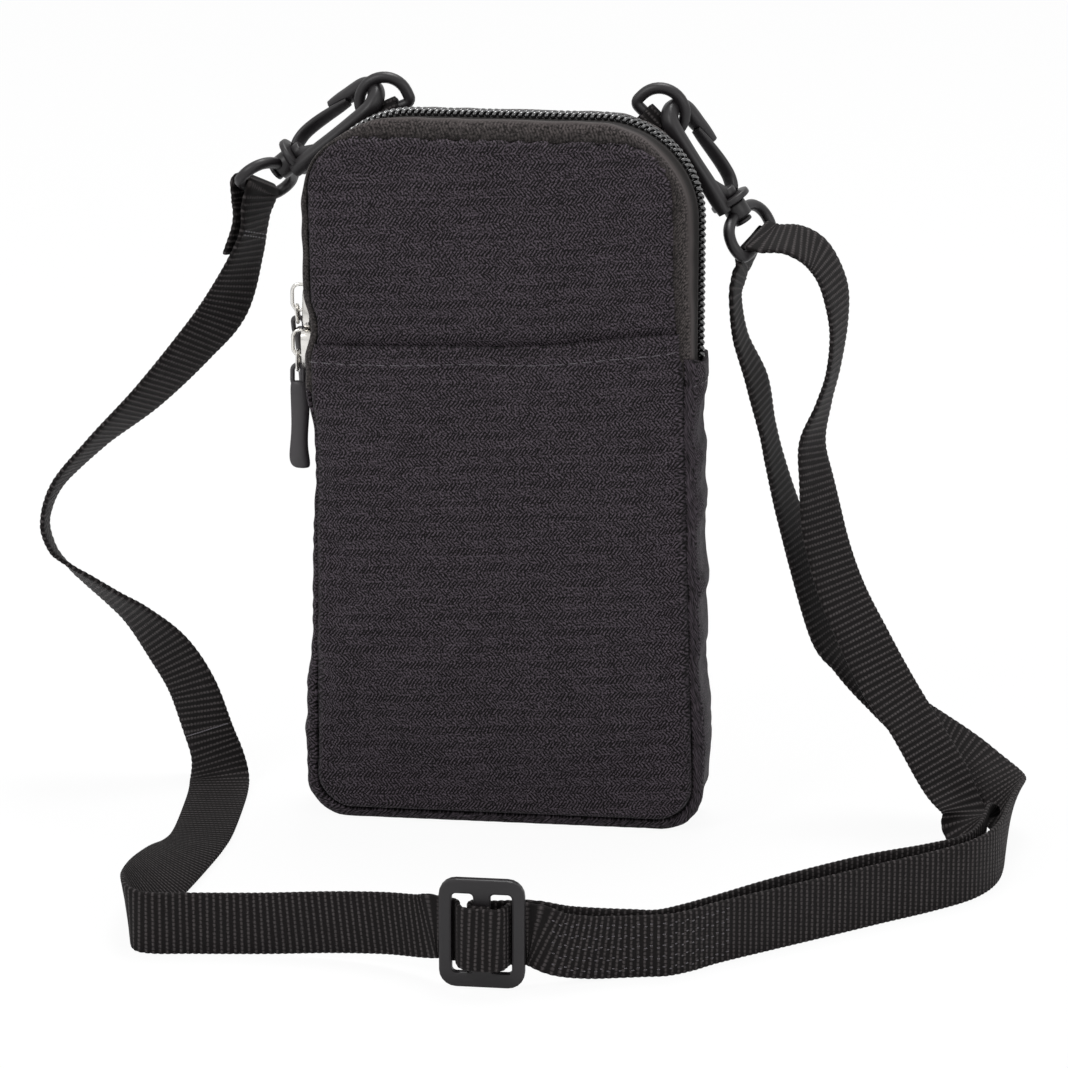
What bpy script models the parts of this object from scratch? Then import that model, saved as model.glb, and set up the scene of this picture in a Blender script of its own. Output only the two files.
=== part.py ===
"""Upright fanny pack: a small padded pouch with two hooks and a shoulder strap.

Metres, +Z up. The origin is the middle of the flat base, on the table. The front faces -Y.
"""
import bpy
import bmesh
from math import cos, pi, radians, sin
from mathutils import Matrix, Vector

for item in list(bpy.data.objects):
    bpy.data.objects.remove(item, do_unlink=True)

MM = 0.001
GAP = 0.0003
ROUND = 16

# Bag body: the crest is the outermost line of the gusset and zipper
HEIGHT = 0.1814
DEPTH = 0.022
CREST_DEPTH = 0.016
CREST_HALF = 0.0481
CREST_FLARE = 0.0026
CREST_TOP_RADIUS = 0.025
BASE_RADIUS = 0.0105
STRAIGHT_FROM = 0.110
SEAM_HALF = 0.0460
SEAM_FLARE = 0.00165
SEAM_LOW = 0.0036
SEAM_TOP = 0.1770
SEAM_BASE_RADIUS = 0.009
FRONT_TOP_RADIUS = 0.014
BACK_TOP_RADIUS = 0.024
LEAN = 0.0032
LEAN_FROM = 0.005
RIM_SHOULDER = 0.0095
CORNER_STEPS = 8

# Fabric layers
GUSSET_THICKNESS = 0.0012
PANEL_THICKNESS = 0.0010
FOAM_THICKNESS = 0.0021
LINING_THICKNESS = 0.0005
POCKET_HEM_LEFT = 0.1245
POCKET_HEM_RIGHT = 0.1295

# Zipper
CHAIN_END_LEFT = 0.113
CHAIN_END_RIGHT = 0.121
TAPE_THICKNESS = 0.0010
COIL_WIDTH = 0.0024
COIL_GAP = 0.0012
COIL_PROUD = 0.0005
COIL_THICKNESS = 0.0019

# Sliders and pullers
SLIDER_MEET = 0.1260
SLIDER_LENGTH = 0.0108
SLIDER_WIDTH = 0.009
SLIDER_INNER_WIDTH = 0.007
SLIDER_PLATE = 0.0018
SLIDER_POST = 0.0006
BRIDGE_WIRE = 0.00045
BRIDGE_LENGTH = 0.0074
BRIDGE_STAND = 0.0038
LOWER_BRIDGE_RISE = 0.0012
UPPER_BRIDGE_RISE = 0.0018
LINK_WIRE = 0.00045
LINK_LENGTH = 0.0058
CORD_WIRE = 0.0006
PULLER_LENGTH = 0.0221
PULLER_WIDTH = 0.0050
PULLER_THICKNESS = 0.0030
PULLER_DROP = 0.0066
# Share of the puller's length from its top, and share of its width there
PULLER_SHAPE = ((0.0, 0.62), (0.04, 0.9), (0.11, 1.0), (0.55, 0.92), (0.91, 1.0), (0.97, 0.85), (1.0, 0.6))
PULL_SEAT = 0.0012
UPPER_PULL_TILT = radians(24)
LOWER_PULL_TILT = radians(-6)

# D-rings and their tabs
RING_WIRE = 0.0015
RING_RADIUS = 0.00635
RING_LEG = 0.004
RING_PLANE = 0.0163
RING_LEFT = (-0.0336, 0.1809)
RING_RIGHT = (0.0365, 0.1796)
RING_TILT_LEFT = radians(25)
RING_TILT_RIGHT = radians(-45)
TAB_WIDTH = 0.006
TAB_THICKNESS = 0.0012
TAB_SEWN = 0.014

# Swivel hooks
HOOK_REACH = 0.0419
HOOK_ROLL = radians(65)
SPINE_OFFSET = 0.0043
SPINE_HALF = 0.0018
SPINE_THICK = 0.0018
NOSE_END = 0.0295
# The spine leaves the collar near the axis and curves out to its offset: place past the neck, share
SPINE_START = 0.2
SPINE_CURVE = ((0.0, 0.62), (0.0025, 0.93), (0.005, 1.0))
NECK_RADIUS = 0.0028
NECK_END = 0.0165
COLLAR_RADIUS = 0.0048
COLLAR_LENGTH = 0.0020
STUD_RADIUS = 0.00145
STUD_HEAD_RADIUS = 0.0024
STUD_HEAD_LENGTH = 0.0010
GATE_HALF = 0.0009
GATE_THICK = 0.0019

# Swivel eyes
EYE_WIRE = 0.00135
EYE_HALF = 0.0101
EYE_DEPTH = 0.0092
EYE_CORNER = 0.0025
BOSS_RADIUS = 0.0030
BOSS_START = 0.0080
BOSS_END = 0.0120
# Places of the two eyes' bars, and directions to the hook's tip, along the bar and to the gate
EYE_LEFT = (-0.0659, RING_PLANE, 0.1568)
EYE_RIGHT = (0.0602, RING_PLANE, 0.1462)
TIP_LEFT = (0.77, 0, 0.64)
TIP_RIGHT = (-0.54, 0, 0.84)
BAR_LEFT = (0.31, 0.87, -0.38)
BAR_RIGHT = (0.30, 0.93, 0.22)
GATE_SIDE_LEFT = (-0.64, 0, 0.77)
GATE_SIDE_RIGHT = (0.84, 0, 0.54)

# Strap and adjuster
STRAP_WIDTH = 0.0155
STRAP_THICKNESS = 0.0013
ROUTE_STEPS = 3
ADJUSTER_WIDTH = 0.020
ADJUSTER_HEIGHT = 0.0266
ADJUSTER_THICKNESS = 0.0022
ADJUSTER_BAR = 0.0030
ADJUSTER_RAIL = 0.0036
ADJUSTER_MIDDLE = 0.0040
ADJUSTER_CORNER = 0.004
ADJUSTER_WINDOW_CORNER = 0.001
ADJUSTER_EDGE = 0.0005
ADJUSTER_CENTRE = Vector((0.0086, -0.1170, 0.0136))

# Colour, roughness, metallic
MATERIALS = {
    "twill_fabric": ((0.024, 0.020, 0.022), 0.85, 0.0),
    "tape_fabric": ((0.040, 0.037, 0.034), 0.8, 0.0),
    "coil_nylon": ((0.010, 0.010, 0.011), 0.35, 0.0),
    "foam": ((0.30, 0.30, 0.31), 0.95, 0.0),
    "lining_fabric": ((0.03, 0.03, 0.035), 0.8, 0.0),
    "webbing": ((0.013, 0.012, 0.011), 0.9, 0.0),
    "black_plastic": ((0.016, 0.014, 0.017), 0.45, 0.0),
    "nickel": ((0.62, 0.61, 0.60), 0.22, 1.0),
    "puller_rubber": ((0.035, 0.034, 0.036), 0.6, 0.0),
}


def material(slot):
    """The Principled material of one slot, made once."""
    if slot in bpy.data.materials:
        return bpy.data.materials[slot]
    colour, roughness, metallic = MATERIALS[slot]
    made = bpy.data.materials.new(slot)
    made.use_nodes = True
    shader = made.node_tree.nodes["Principled BSDF"]
    shader.inputs["Base Color"].default_value = (*colour, 1.0)
    shader.inputs["Roughness"].default_value = roughness
    shader.inputs["Metallic"].default_value = metallic
    return made


def loft(name, slot, rings, closed=False, smooth=False, origin=(0, 0, 0)):
    """One closed solid through equal rings of points, capped at its ends unless it is closed."""
    origin = Vector(origin)
    mesh = bmesh.new()
    loops = [[mesh.verts.new(Vector(point) - origin) for point in ring] for ring in rings]
    pairs = list(zip(loops, loops[1:]))
    if closed:
        pairs.append((loops[-1], loops[0]))
    else:
        mesh.faces.new(loops[0])
        mesh.faces.new(loops[-1])
    for near, far in pairs:
        for i in range(len(near)):
            j = (i + 1) % len(near)
            mesh.faces.new((near[i], near[j], far[j], far[i]))
    bmesh.ops.recalc_face_normals(mesh, faces=mesh.faces)
    data = bpy.data.meshes.new(name)
    mesh.to_mesh(data)
    mesh.free()
    for face in data.polygons:
        face.use_smooth = smooth
    data.materials.append(material(slot))
    made = bpy.data.objects.new(name, data)
    made.location = origin
    bpy.context.collection.objects.link(made)
    return made


def tube(name, slot, path, normal, half, thick, closed=False, origin=(0, 0, 0), sides=ROUND):
    """A bar along a path in one plane: half is its radius in the plane, thick its radius across it."""
    rings = []
    count = len(path)
    for i, point in enumerate(path):
        if closed:
            before, after = path[i - 1], path[(i + 1) % count]
        else:
            before, after = path[max(i - 1, 0)], path[min(i + 1, count - 1)]
        side = (after - before).normalized().cross(normal).normalized()
        rings.append([point + side * half * cos(a) + normal * thick * sin(a)
                      for a in (2 * pi * k / sides for k in range(sides))])
    return loft(name, slot, rings, closed, True, origin)


def rod(name, slot, start, end, radius, origin=(0, 0, 0), sides=24):
    """A round rod between two points."""
    along = (end - start).normalized()
    side = along.orthogonal().normalized()
    other = along.cross(side)
    rings = [[point + side * radius * cos(a) + other * radius * sin(a)
              for a in (2 * pi * k / sides for k in range(sides))] for point in (start, end)]
    return loft(name, slot, rings, False, True, origin)


def combine(target, other, operation):
    """Joins other to target, or cuts it out of target, and keeps target."""
    change = target.modifiers.new(operation.lower(), "BOOLEAN")
    change.operation = operation
    change.object = other
    change.solver = "EXACT"
    bpy.context.view_layer.objects.active = target
    with bpy.context.temp_override(object=target, active_object=target):
        bpy.ops.object.modifier_apply(modifier=change.name)
    bpy.data.objects.remove(other, do_unlink=True)


def smooth_sides(target, angle=35):
    """Rounds the shading across small angles only, so that edges stay crisp."""
    limit = radians(angle)
    shape = bmesh.new()
    shape.from_mesh(target.data)
    for face in shape.faces:
        face.smooth = True
    for edge in shape.edges:
        edge.smooth = edge.calc_face_angle(0.0) < limit
    shape.to_mesh(target.data)
    shape.free()


def arc(centre_x, centre_z, radius, start, end, steps=CORNER_STEPS):
    """Points of an arc in the XZ plane, angles in degrees."""
    angles = (radians(start + (end - start) * k / steps) for k in range(steps + 1))
    return [(centre_x + radius * cos(a), centre_z + radius * sin(a)) for a in angles]


# Bag outlines: half width, flare at the foot, low edge, top edge, foot radius, top radius
CREST = (CREST_HALF, CREST_FLARE, 0.0, HEIGHT, BASE_RADIUS, CREST_TOP_RADIUS)
FRONT_SEAM = (SEAM_HALF, SEAM_FLARE, SEAM_LOW, SEAM_TOP, SEAM_BASE_RADIUS, FRONT_TOP_RADIUS)
BACK_SEAM = (SEAM_HALF, SEAM_FLARE, SEAM_LOW, SEAM_TOP, SEAM_BASE_RADIUS, BACK_TOP_RADIUS)


def outline_at(y):
    """The gusset's outline at depth y: the crest in the middle, drawn in to a seam on each side."""
    edge = max(0.0, (abs(y) - CREST_DEPTH / 2) / (DEPTH / 2 - CREST_DEPTH / 2))
    seam = FRONT_SEAM if y < 0 else BACK_SEAM
    return tuple(a + (b - a) * edge ** 2 for a, b in zip(CREST, seam))


def side_x(outline, z, inset):
    """Half width of an outline at height z."""
    return outline[0] - inset + outline[1] * max(0.0, 1 - z / STRAIGHT_FROM)


def top_run(outline, inset, z_left, z_right):
    """Outline points from the left side at z_left, over the top, to the right side at z_right."""
    centre = outline[0] - outline[5]
    level = outline[3] - outline[5]
    radius = outline[5] - inset
    return ([(-side_x(outline, z_left, inset), z_left)]
            + arc(-centre, level, radius, 180, 90) + arc(centre, level, radius, 90, 0)
            + [(side_x(outline, z_right, inset), z_right)])


def foot_run(outline, inset, z_left, z_right):
    """Outline points from the left side at z_left, under the foot, to the right side at z_right."""
    level = outline[2] + outline[4]
    radius = outline[4] - inset
    centre = side_x(outline, level, inset) - radius
    knee = min(STRAIGHT_FROM, z_left - GAP, z_right - GAP)
    return ([(-side_x(outline, z_left, inset), z_left), (-side_x(outline, knee, inset), knee)]
            + arc(-centre, level, radius, 180, 270) + arc(centre, level, radius, 270, 360)
            + [(side_x(outline, knee, inset), knee), (side_x(outline, z_right, inset), z_right)])


def place(point, y):
    """A point of an outline at depth y. The front face leans a little to the left."""
    x, z = point
    share = min(1.0, max(0.0, (-y - LEAN_FROM) / (DEPTH / 2 - LEAN_FROM)))
    return Vector((x - LEAN * share * z / HEIGHT, y, z))


def band(name, slot, run, depths, outer, inner, z_left, z_right):
    """A strip of the bag's rim: a run of the outline, between depths, from outer to inner inset."""
    outside = [[place(p, y) for p in run(outline_at(y), outer, z_left, z_right)] for y in depths]
    inside = [[place(p, y) for p in run(outline_at(y), inner, z_left, z_right)] for y in depths]
    rings = [[line[i] for line in outside] + [line[i] for line in reversed(inside)]
             for i in range(len(outside[0]))]
    return loft(name, slot, rings)


def sheet(name, slot, outline, inset, y_front, y_back, hems=None):
    """A flat layer of the bag with the shape of an outline. Hems cut it off at two heights."""
    if hems:
        points = foot_run(outline, inset, *hems)
    else:
        middle = HEIGHT / 2
        upper = top_run(outline, inset, middle, middle)
        points = foot_run(outline, inset, middle, middle)[1:-1] + upper[::-1]
    return loft(name, slot, [[place(p, y) for p in points] for y in (y_front, y_back)])


# Rim: gusset round the foot and sides, zipper over the top
SEAM = DEPTH / 2
RIM_DEPTHS = [-SEAM, -RIM_SHOULDER, -CREST_DEPTH / 2, CREST_DEPTH / 2, RIM_SHOULDER, SEAM]
band("gusset", "twill_fabric", foot_run, RIM_DEPTHS, 0.0, GUSSET_THICKNESS,
     CHAIN_END_LEFT - GAP, CHAIN_END_RIGHT - GAP)
coil_outer = COIL_GAP / 2 + COIL_WIDTH
tape_edge = coil_outer + GAP
for side, name in ((-1, "front"), (1, "back")):
    tape_depths = sorted([side * tape_edge] + [y for y in RIM_DEPTHS if y * side > tape_edge])
    band("zipper_tape_" + name, "tape_fabric", top_run, tape_depths, 0.0, TAPE_THICKNESS,
         CHAIN_END_LEFT, CHAIN_END_RIGHT)
    coil_depths = sorted([side * COIL_GAP / 2, side * coil_outer])
    band("zipper_coil_" + name, "coil_nylon", top_run, coil_depths, -COIL_PROUD,
         COIL_THICKNESS - COIL_PROUD, CHAIN_END_LEFT, CHAIN_END_RIGHT)

# Face layers, from the outside in
panel_in = SEAM + GAP
panel_out = panel_in + PANEL_THICKNESS
pocket_in = panel_out + GAP
lining_out = SEAM - FOAM_THICKNESS - GAP
lining_in = lining_out - LINING_THICKNESS
layer_inset = GUSSET_THICKNESS + GAP
sheet("front_panel", "twill_fabric", FRONT_SEAM, 0.0, -panel_out, -panel_in)
sheet("front_pocket", "twill_fabric", FRONT_SEAM, 0.0, -pocket_in - PANEL_THICKNESS, -pocket_in,
      (POCKET_HEM_LEFT, POCKET_HEM_RIGHT))
sheet("back_panel", "twill_fabric", BACK_SEAM, 0.0, panel_in, panel_out)
for side, name in ((-1, "front"), (1, "back")):
    sheet("foam_" + name, "foam", BACK_SEAM, layer_inset, side * SEAM, side * (SEAM - FOAM_THICKNESS))
    sheet("lining_" + name, "lining_fabric", BACK_SEAM, layer_inset, side * lining_out, side * lining_in)

# Sliders: two plates joined by a thin post that runs between the coils
coil_face = CREST_HALF + COIL_PROUD
coil_back = CREST_HALF + COIL_PROUD - COIL_THICKNESS
plate_in = coil_face + GAP
plate_out = plate_in + SLIDER_PLATE
inner_out = coil_back - GAP
inner_in = inner_out - SLIDER_PLATE
bridge_x = plate_out + BRIDGE_STAND - BRIDGE_WIRE


def slider(name, z_low, bridge_rise):
    """A slider with its bridge, the wire loop that the pull link hangs in."""
    wide, narrow, post = SLIDER_WIDTH / 2, SLIDER_INNER_WIDTH / 2, SLIDER_POST / 2
    section = [(plate_out, -wide), (plate_out, wide), (plate_in, wide), (plate_in, post),
               (inner_out, post), (inner_out, narrow), (inner_in, narrow), (inner_in, -narrow),
               (inner_out, -narrow), (inner_out, -post), (plate_in, -post), (plate_in, -wide)]
    rings = [[Vector((-x, y, z)) for x, y in section] for z in (z_low, z_low + SLIDER_LENGTH)]
    body = loft(name, "nickel", rings)
    middle = z_low + SLIDER_LENGTH / 2 + bridge_rise
    reach = BRIDGE_LENGTH / 2 - BRIDGE_WIRE
    root = plate_out - SLIDER_PLATE / 2
    corner = BRIDGE_WIRE * 2
    bend = [(-x, z) for x, z in arc(bridge_x - corner, middle + reach - corner, corner, 90, 0, 4)
            + arc(bridge_x - corner, middle - reach + corner, corner, 0, -90, 4)]
    path = [Vector((-root, 0, middle + reach))] + [Vector((x, 0, z)) for x, z in bend]
    path.append(Vector((-root, 0, middle - reach)))
    wire = tube("bridge", "nickel", path, Vector((0, 1, 0)), BRIDGE_WIRE, BRIDGE_WIRE, sides=8)
    combine(body, wire, "UNION")
    return middle - reach


def pull(name, hinge_z, tilt, edge_on):
    """A pull link round the bridge's lower leg, and the rubber puller on its cord loop."""
    hinge = Vector((PULL_SEAT - bridge_x, 0, hinge_z))
    turn = Matrix.Translation(hinge) @ Matrix.Rotation(tilt, 4, "X")
    half = BRIDGE_WIRE + LINK_WIRE + GAP
    top = half
    bottom = top - LINK_LENGTH + 2 * LINK_WIRE

    def loop(width, z_high, z_low, sideways):
        """A rounded loop between two heights, in the plane of a sideways direction and Z."""
        points = arc(0, z_high - width, width, 0, 180, 8) + arc(0, z_low + width, width, 180, 360, 8)
        return [turn @ (sideways * s + Vector((0, 0, z))) for s, z in points]

    along_y, along_x = turn.to_3x3() @ Vector((0, 1, 0)), Vector((1, 0, 0))
    link_bar = turn @ Vector((0, 0, bottom))
    tube("pull_link_" + name, "nickel", loop(half, top, bottom, Vector((0, 1, 0))), along_x,
         LINK_WIRE, LINK_WIRE, True, hinge, 8)
    cord_half = LINK_WIRE + CORD_WIRE + GAP
    cord = loop(cord_half, bottom + cord_half, -PULLER_DROP - CORD_WIRE, Vector((1, 0, 0)))
    wide, thick = PULLER_WIDTH / 2, PULLER_THICKNESS / 2
    if edge_on:
        wide, thick = thick, wide
    rings = [[turn @ Vector((wide * share * cos(a), thick * share * sin(a),
                             -PULLER_DROP - level * PULLER_LENGTH))
              for a in (2 * pi * k / ROUND for k in range(ROUND))] for level, share in PULLER_SHAPE]
    body = loft("puller_" + name, "puller_rubber", rings, False, True, link_bar)
    ring = tube("cord_loop", "puller_rubber", cord, along_y, CORD_WIRE, CORD_WIRE, True, link_bar, 8)
    combine(body, ring, "UNION")


half_gap = GAP / 2
lower_leg = slider("slider_lower", SLIDER_MEET - half_gap - SLIDER_LENGTH, LOWER_BRIDGE_RISE)
upper_leg = slider("slider_upper", SLIDER_MEET + half_gap, UPPER_BRIDGE_RISE)
pull("lower", lower_leg, LOWER_PULL_TILT, False)
pull("upper", upper_leg, UPPER_PULL_TILT, True)


def d_ring(name, centre, tilt):
    """A D-ring in the plane y = RING_PLANE, its flat bar towards the bag, and its sewn tab."""
    down = Vector((sin(tilt), 0, -cos(tilt)))
    across = Vector((cos(tilt), 0, sin(tilt)))
    depth = Vector((0, 1, 0))
    centre = Vector((centre[0], RING_PLANE, centre[1]))
    bar = centre + down * RING_LEG
    corner = RING_WIRE
    flat = RING_RADIUS - corner
    points = [centre + across * x - down * z for x, z in arc(0, 0, RING_RADIUS, 0, 180, 16)]
    for x, start in ((-flat, 180), (flat, 270)):
        points += [bar + across * a - down * b for a, b in arc(x, corner, corner, start, start + 90, 4)]
    tube("d_ring_" + name, "black_plastic", points, depth, RING_WIRE, RING_WIRE, True, bar, 12)

    radius = RING_WIRE + GAP + TAB_THICKNESS / 2
    first = panel_out + GAP + TAB_THICKNESS / 2 - RING_PLANE
    second = first + TAB_THICKNESS + GAP
    loop = [(TAB_SEWN, first), (radius, first)]
    loop += [(-radius * sin(a), -radius * cos(a)) for a in (pi * k / 10 for k in range(1, 11))]
    loop += [(radius, 0.8 * radius), (2.4 * radius, second + TAB_THICKNESS),
             (3.2 * radius, second), (TAB_SEWN, second)]
    path = [bar + down * t + depth * y for t, y in loop]
    rings = []
    for i, point in enumerate(path):
        along = (path[min(i + 1, len(path) - 1)] - path[max(i - 1, 0)]).normalized()
        out = along.cross(across) * TAB_THICKNESS / 2
        wide = across * TAB_WIDTH / 2
        rings.append([point + out + wide, point + out - wide, point - out - wide, point - out + wide])
    loft("d_ring_tab_" + name, "webbing", rings)


d_ring("left", RING_LEFT, RING_TILT_LEFT)
d_ring("right", RING_RIGHT, RING_TILT_RIGHT)


def hook(name, eye, tip_direction, bar_direction, gate_side):
    """A swivel hook, its sprung gate and the eye that it turns in. u runs from the eye's bar to the tip."""
    eye = Vector(eye)
    u = Vector(tip_direction).normalized()
    v = Vector(gate_side) * cos(HOOK_ROLL) + Vector((0, 1, 0)) * sin(HOOK_ROLL)
    v = (v - u * v.dot(u)).normalized()
    n = u.cross(v)
    pivot = eye + u * BOSS_END

    def at(a, b=0.0):
        """A point of the hook's plane."""
        return eye + u * a + v * b

    collar = BOSS_END + GAP
    nose = HOOK_REACH - SPINE_HALF - SPINE_OFFSET
    path = [at(collar + COLLAR_LENGTH, -SPINE_OFFSET * SPINE_START)]
    path += [at(NECK_END + a, -SPINE_OFFSET * share) for a, share in SPINE_CURVE]
    path += [at(a, b) for a, b in arc(nose, 0, SPINE_OFFSET, -90, 90, 12)] + [at(NOSE_END, SPINE_OFFSET)]
    body = tube("hook_" + name, "black_plastic", path, n, SPINE_HALF, SPINE_THICK, origin=pivot)
    for a, b, radius in ((collar, collar + COLLAR_LENGTH, COLLAR_RADIUS),
                         (collar + COLLAR_LENGTH / 2, NECK_END, NECK_RADIUS),
                         (BOSS_START - GAP - STUD_HEAD_LENGTH / 2, collar + COLLAR_LENGTH / 2, STUD_RADIUS),
                         (BOSS_START - GAP - STUD_HEAD_LENGTH, BOSS_START - GAP, STUD_HEAD_RADIUS)):
        combine(body, rod("turned", "black_plastic", at(a), at(b), radius, pivot), "UNION")
    smooth_sides(body)

    gate_root = collar + COLLAR_LENGTH + GAP
    leaf = [at(gate_root, SPINE_OFFSET), at((gate_root + NOSE_END) / 2, SPINE_OFFSET),
            at(NOSE_END - GAP, SPINE_OFFSET)]
    tube("gate_" + name, "black_plastic", leaf, n, GATE_HALF, GATE_THICK,
         origin=at(gate_root + GATE_HALF, SPINE_OFFSET))

    b = Vector(bar_direction)
    b = (b - u * b.dot(u)).normalized()
    half, corner = EYE_HALF - EYE_CORNER, EYE_CORNER
    loop = []
    for x, z, start in ((half, corner, 270), (half, EYE_DEPTH - corner, 0),
                        (-half, EYE_DEPTH - corner, 90), (-half, corner, 180)):
        loop += [eye + b * s + u * t for s, t in arc(x, z, corner, start, start + 90, 5)]
    ring = tube("swivel_eye_" + name, "black_plastic", loop, b.cross(u), EYE_WIRE, EYE_WIRE, True, sides=12)
    boss = rod("boss", "black_plastic", at(BOSS_START), at(BOSS_END), BOSS_RADIUS)
    combine(ring, boss, "UNION")
    bore = rod("bore", "black_plastic", at(BOSS_START - GAP), at(BOSS_END + GAP), STUD_RADIUS + GAP)
    combine(ring, bore, "DIFFERENCE")
    smooth_sides(ring)


hook("left", EYE_LEFT, TIP_LEFT, BAR_LEFT, GATE_SIDE_LEFT)
hook("right", EYE_RIGHT, TIP_RIGHT, BAR_RIGHT, GATE_SIDE_RIGHT)


def adjuster():
    """The strap's tri-glide: a flat frame with a middle bar."""
    centre = ADJUSTER_CENTRE
    y = ADJUSTER_THICKNESS / 2

    def plate(name, x0, x1, z0, z1, corner, thick):
        """A rounded plate in the XZ plane about the adjuster's centre."""
        points = []
        for x, z, start in ((x1 - corner, z0 + corner, 270), (x1 - corner, z1 - corner, 0),
                            (x0 + corner, z1 - corner, 90), (x0 + corner, z0 + corner, 180)):
            points += arc(x, z, corner, start, start + 90, 5)
        rings = [[centre + Vector((x, side * thick, z)) for x, z in points] for side in (-1, 1)]
        return loft(name, "black_plastic", rings)

    wide, tall = ADJUSTER_WIDTH / 2, ADJUSTER_HEIGHT / 2
    frame = plate("strap_adjuster", -wide, wide, -tall, tall, ADJUSTER_CORNER, y)
    for side in (-1, 1):
        edges = sorted((side * ADJUSTER_MIDDLE / 2, side * (wide - ADJUSTER_BAR)))
        hole = plate("hole", *edges, ADJUSTER_RAIL - tall, tall - ADJUSTER_RAIL,
                     ADJUSTER_WINDOW_CORNER, 2 * y)
        combine(frame, hole, "DIFFERENCE")
    edge = frame.modifiers.new("edge", "BEVEL")
    edge.width = ADJUSTER_EDGE
    edge.segments = 2
    edge.limit_method = "ANGLE"
    edge.angle_limit = radians(50)


adjuster()

# Strap: hand-chosen points of its centre line in mm, each with the direction of its width
UPRIGHT = (0, 0, 1)
ALONG_Y = (-1, 0, 0)


def near(centre, offsets, width):
    """Route points round a bar, given as offsets in mm from the bar's centre."""
    return [(*(c / MM + o for c, o in zip(centre, offset)), *width) for offset in offsets]


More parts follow.
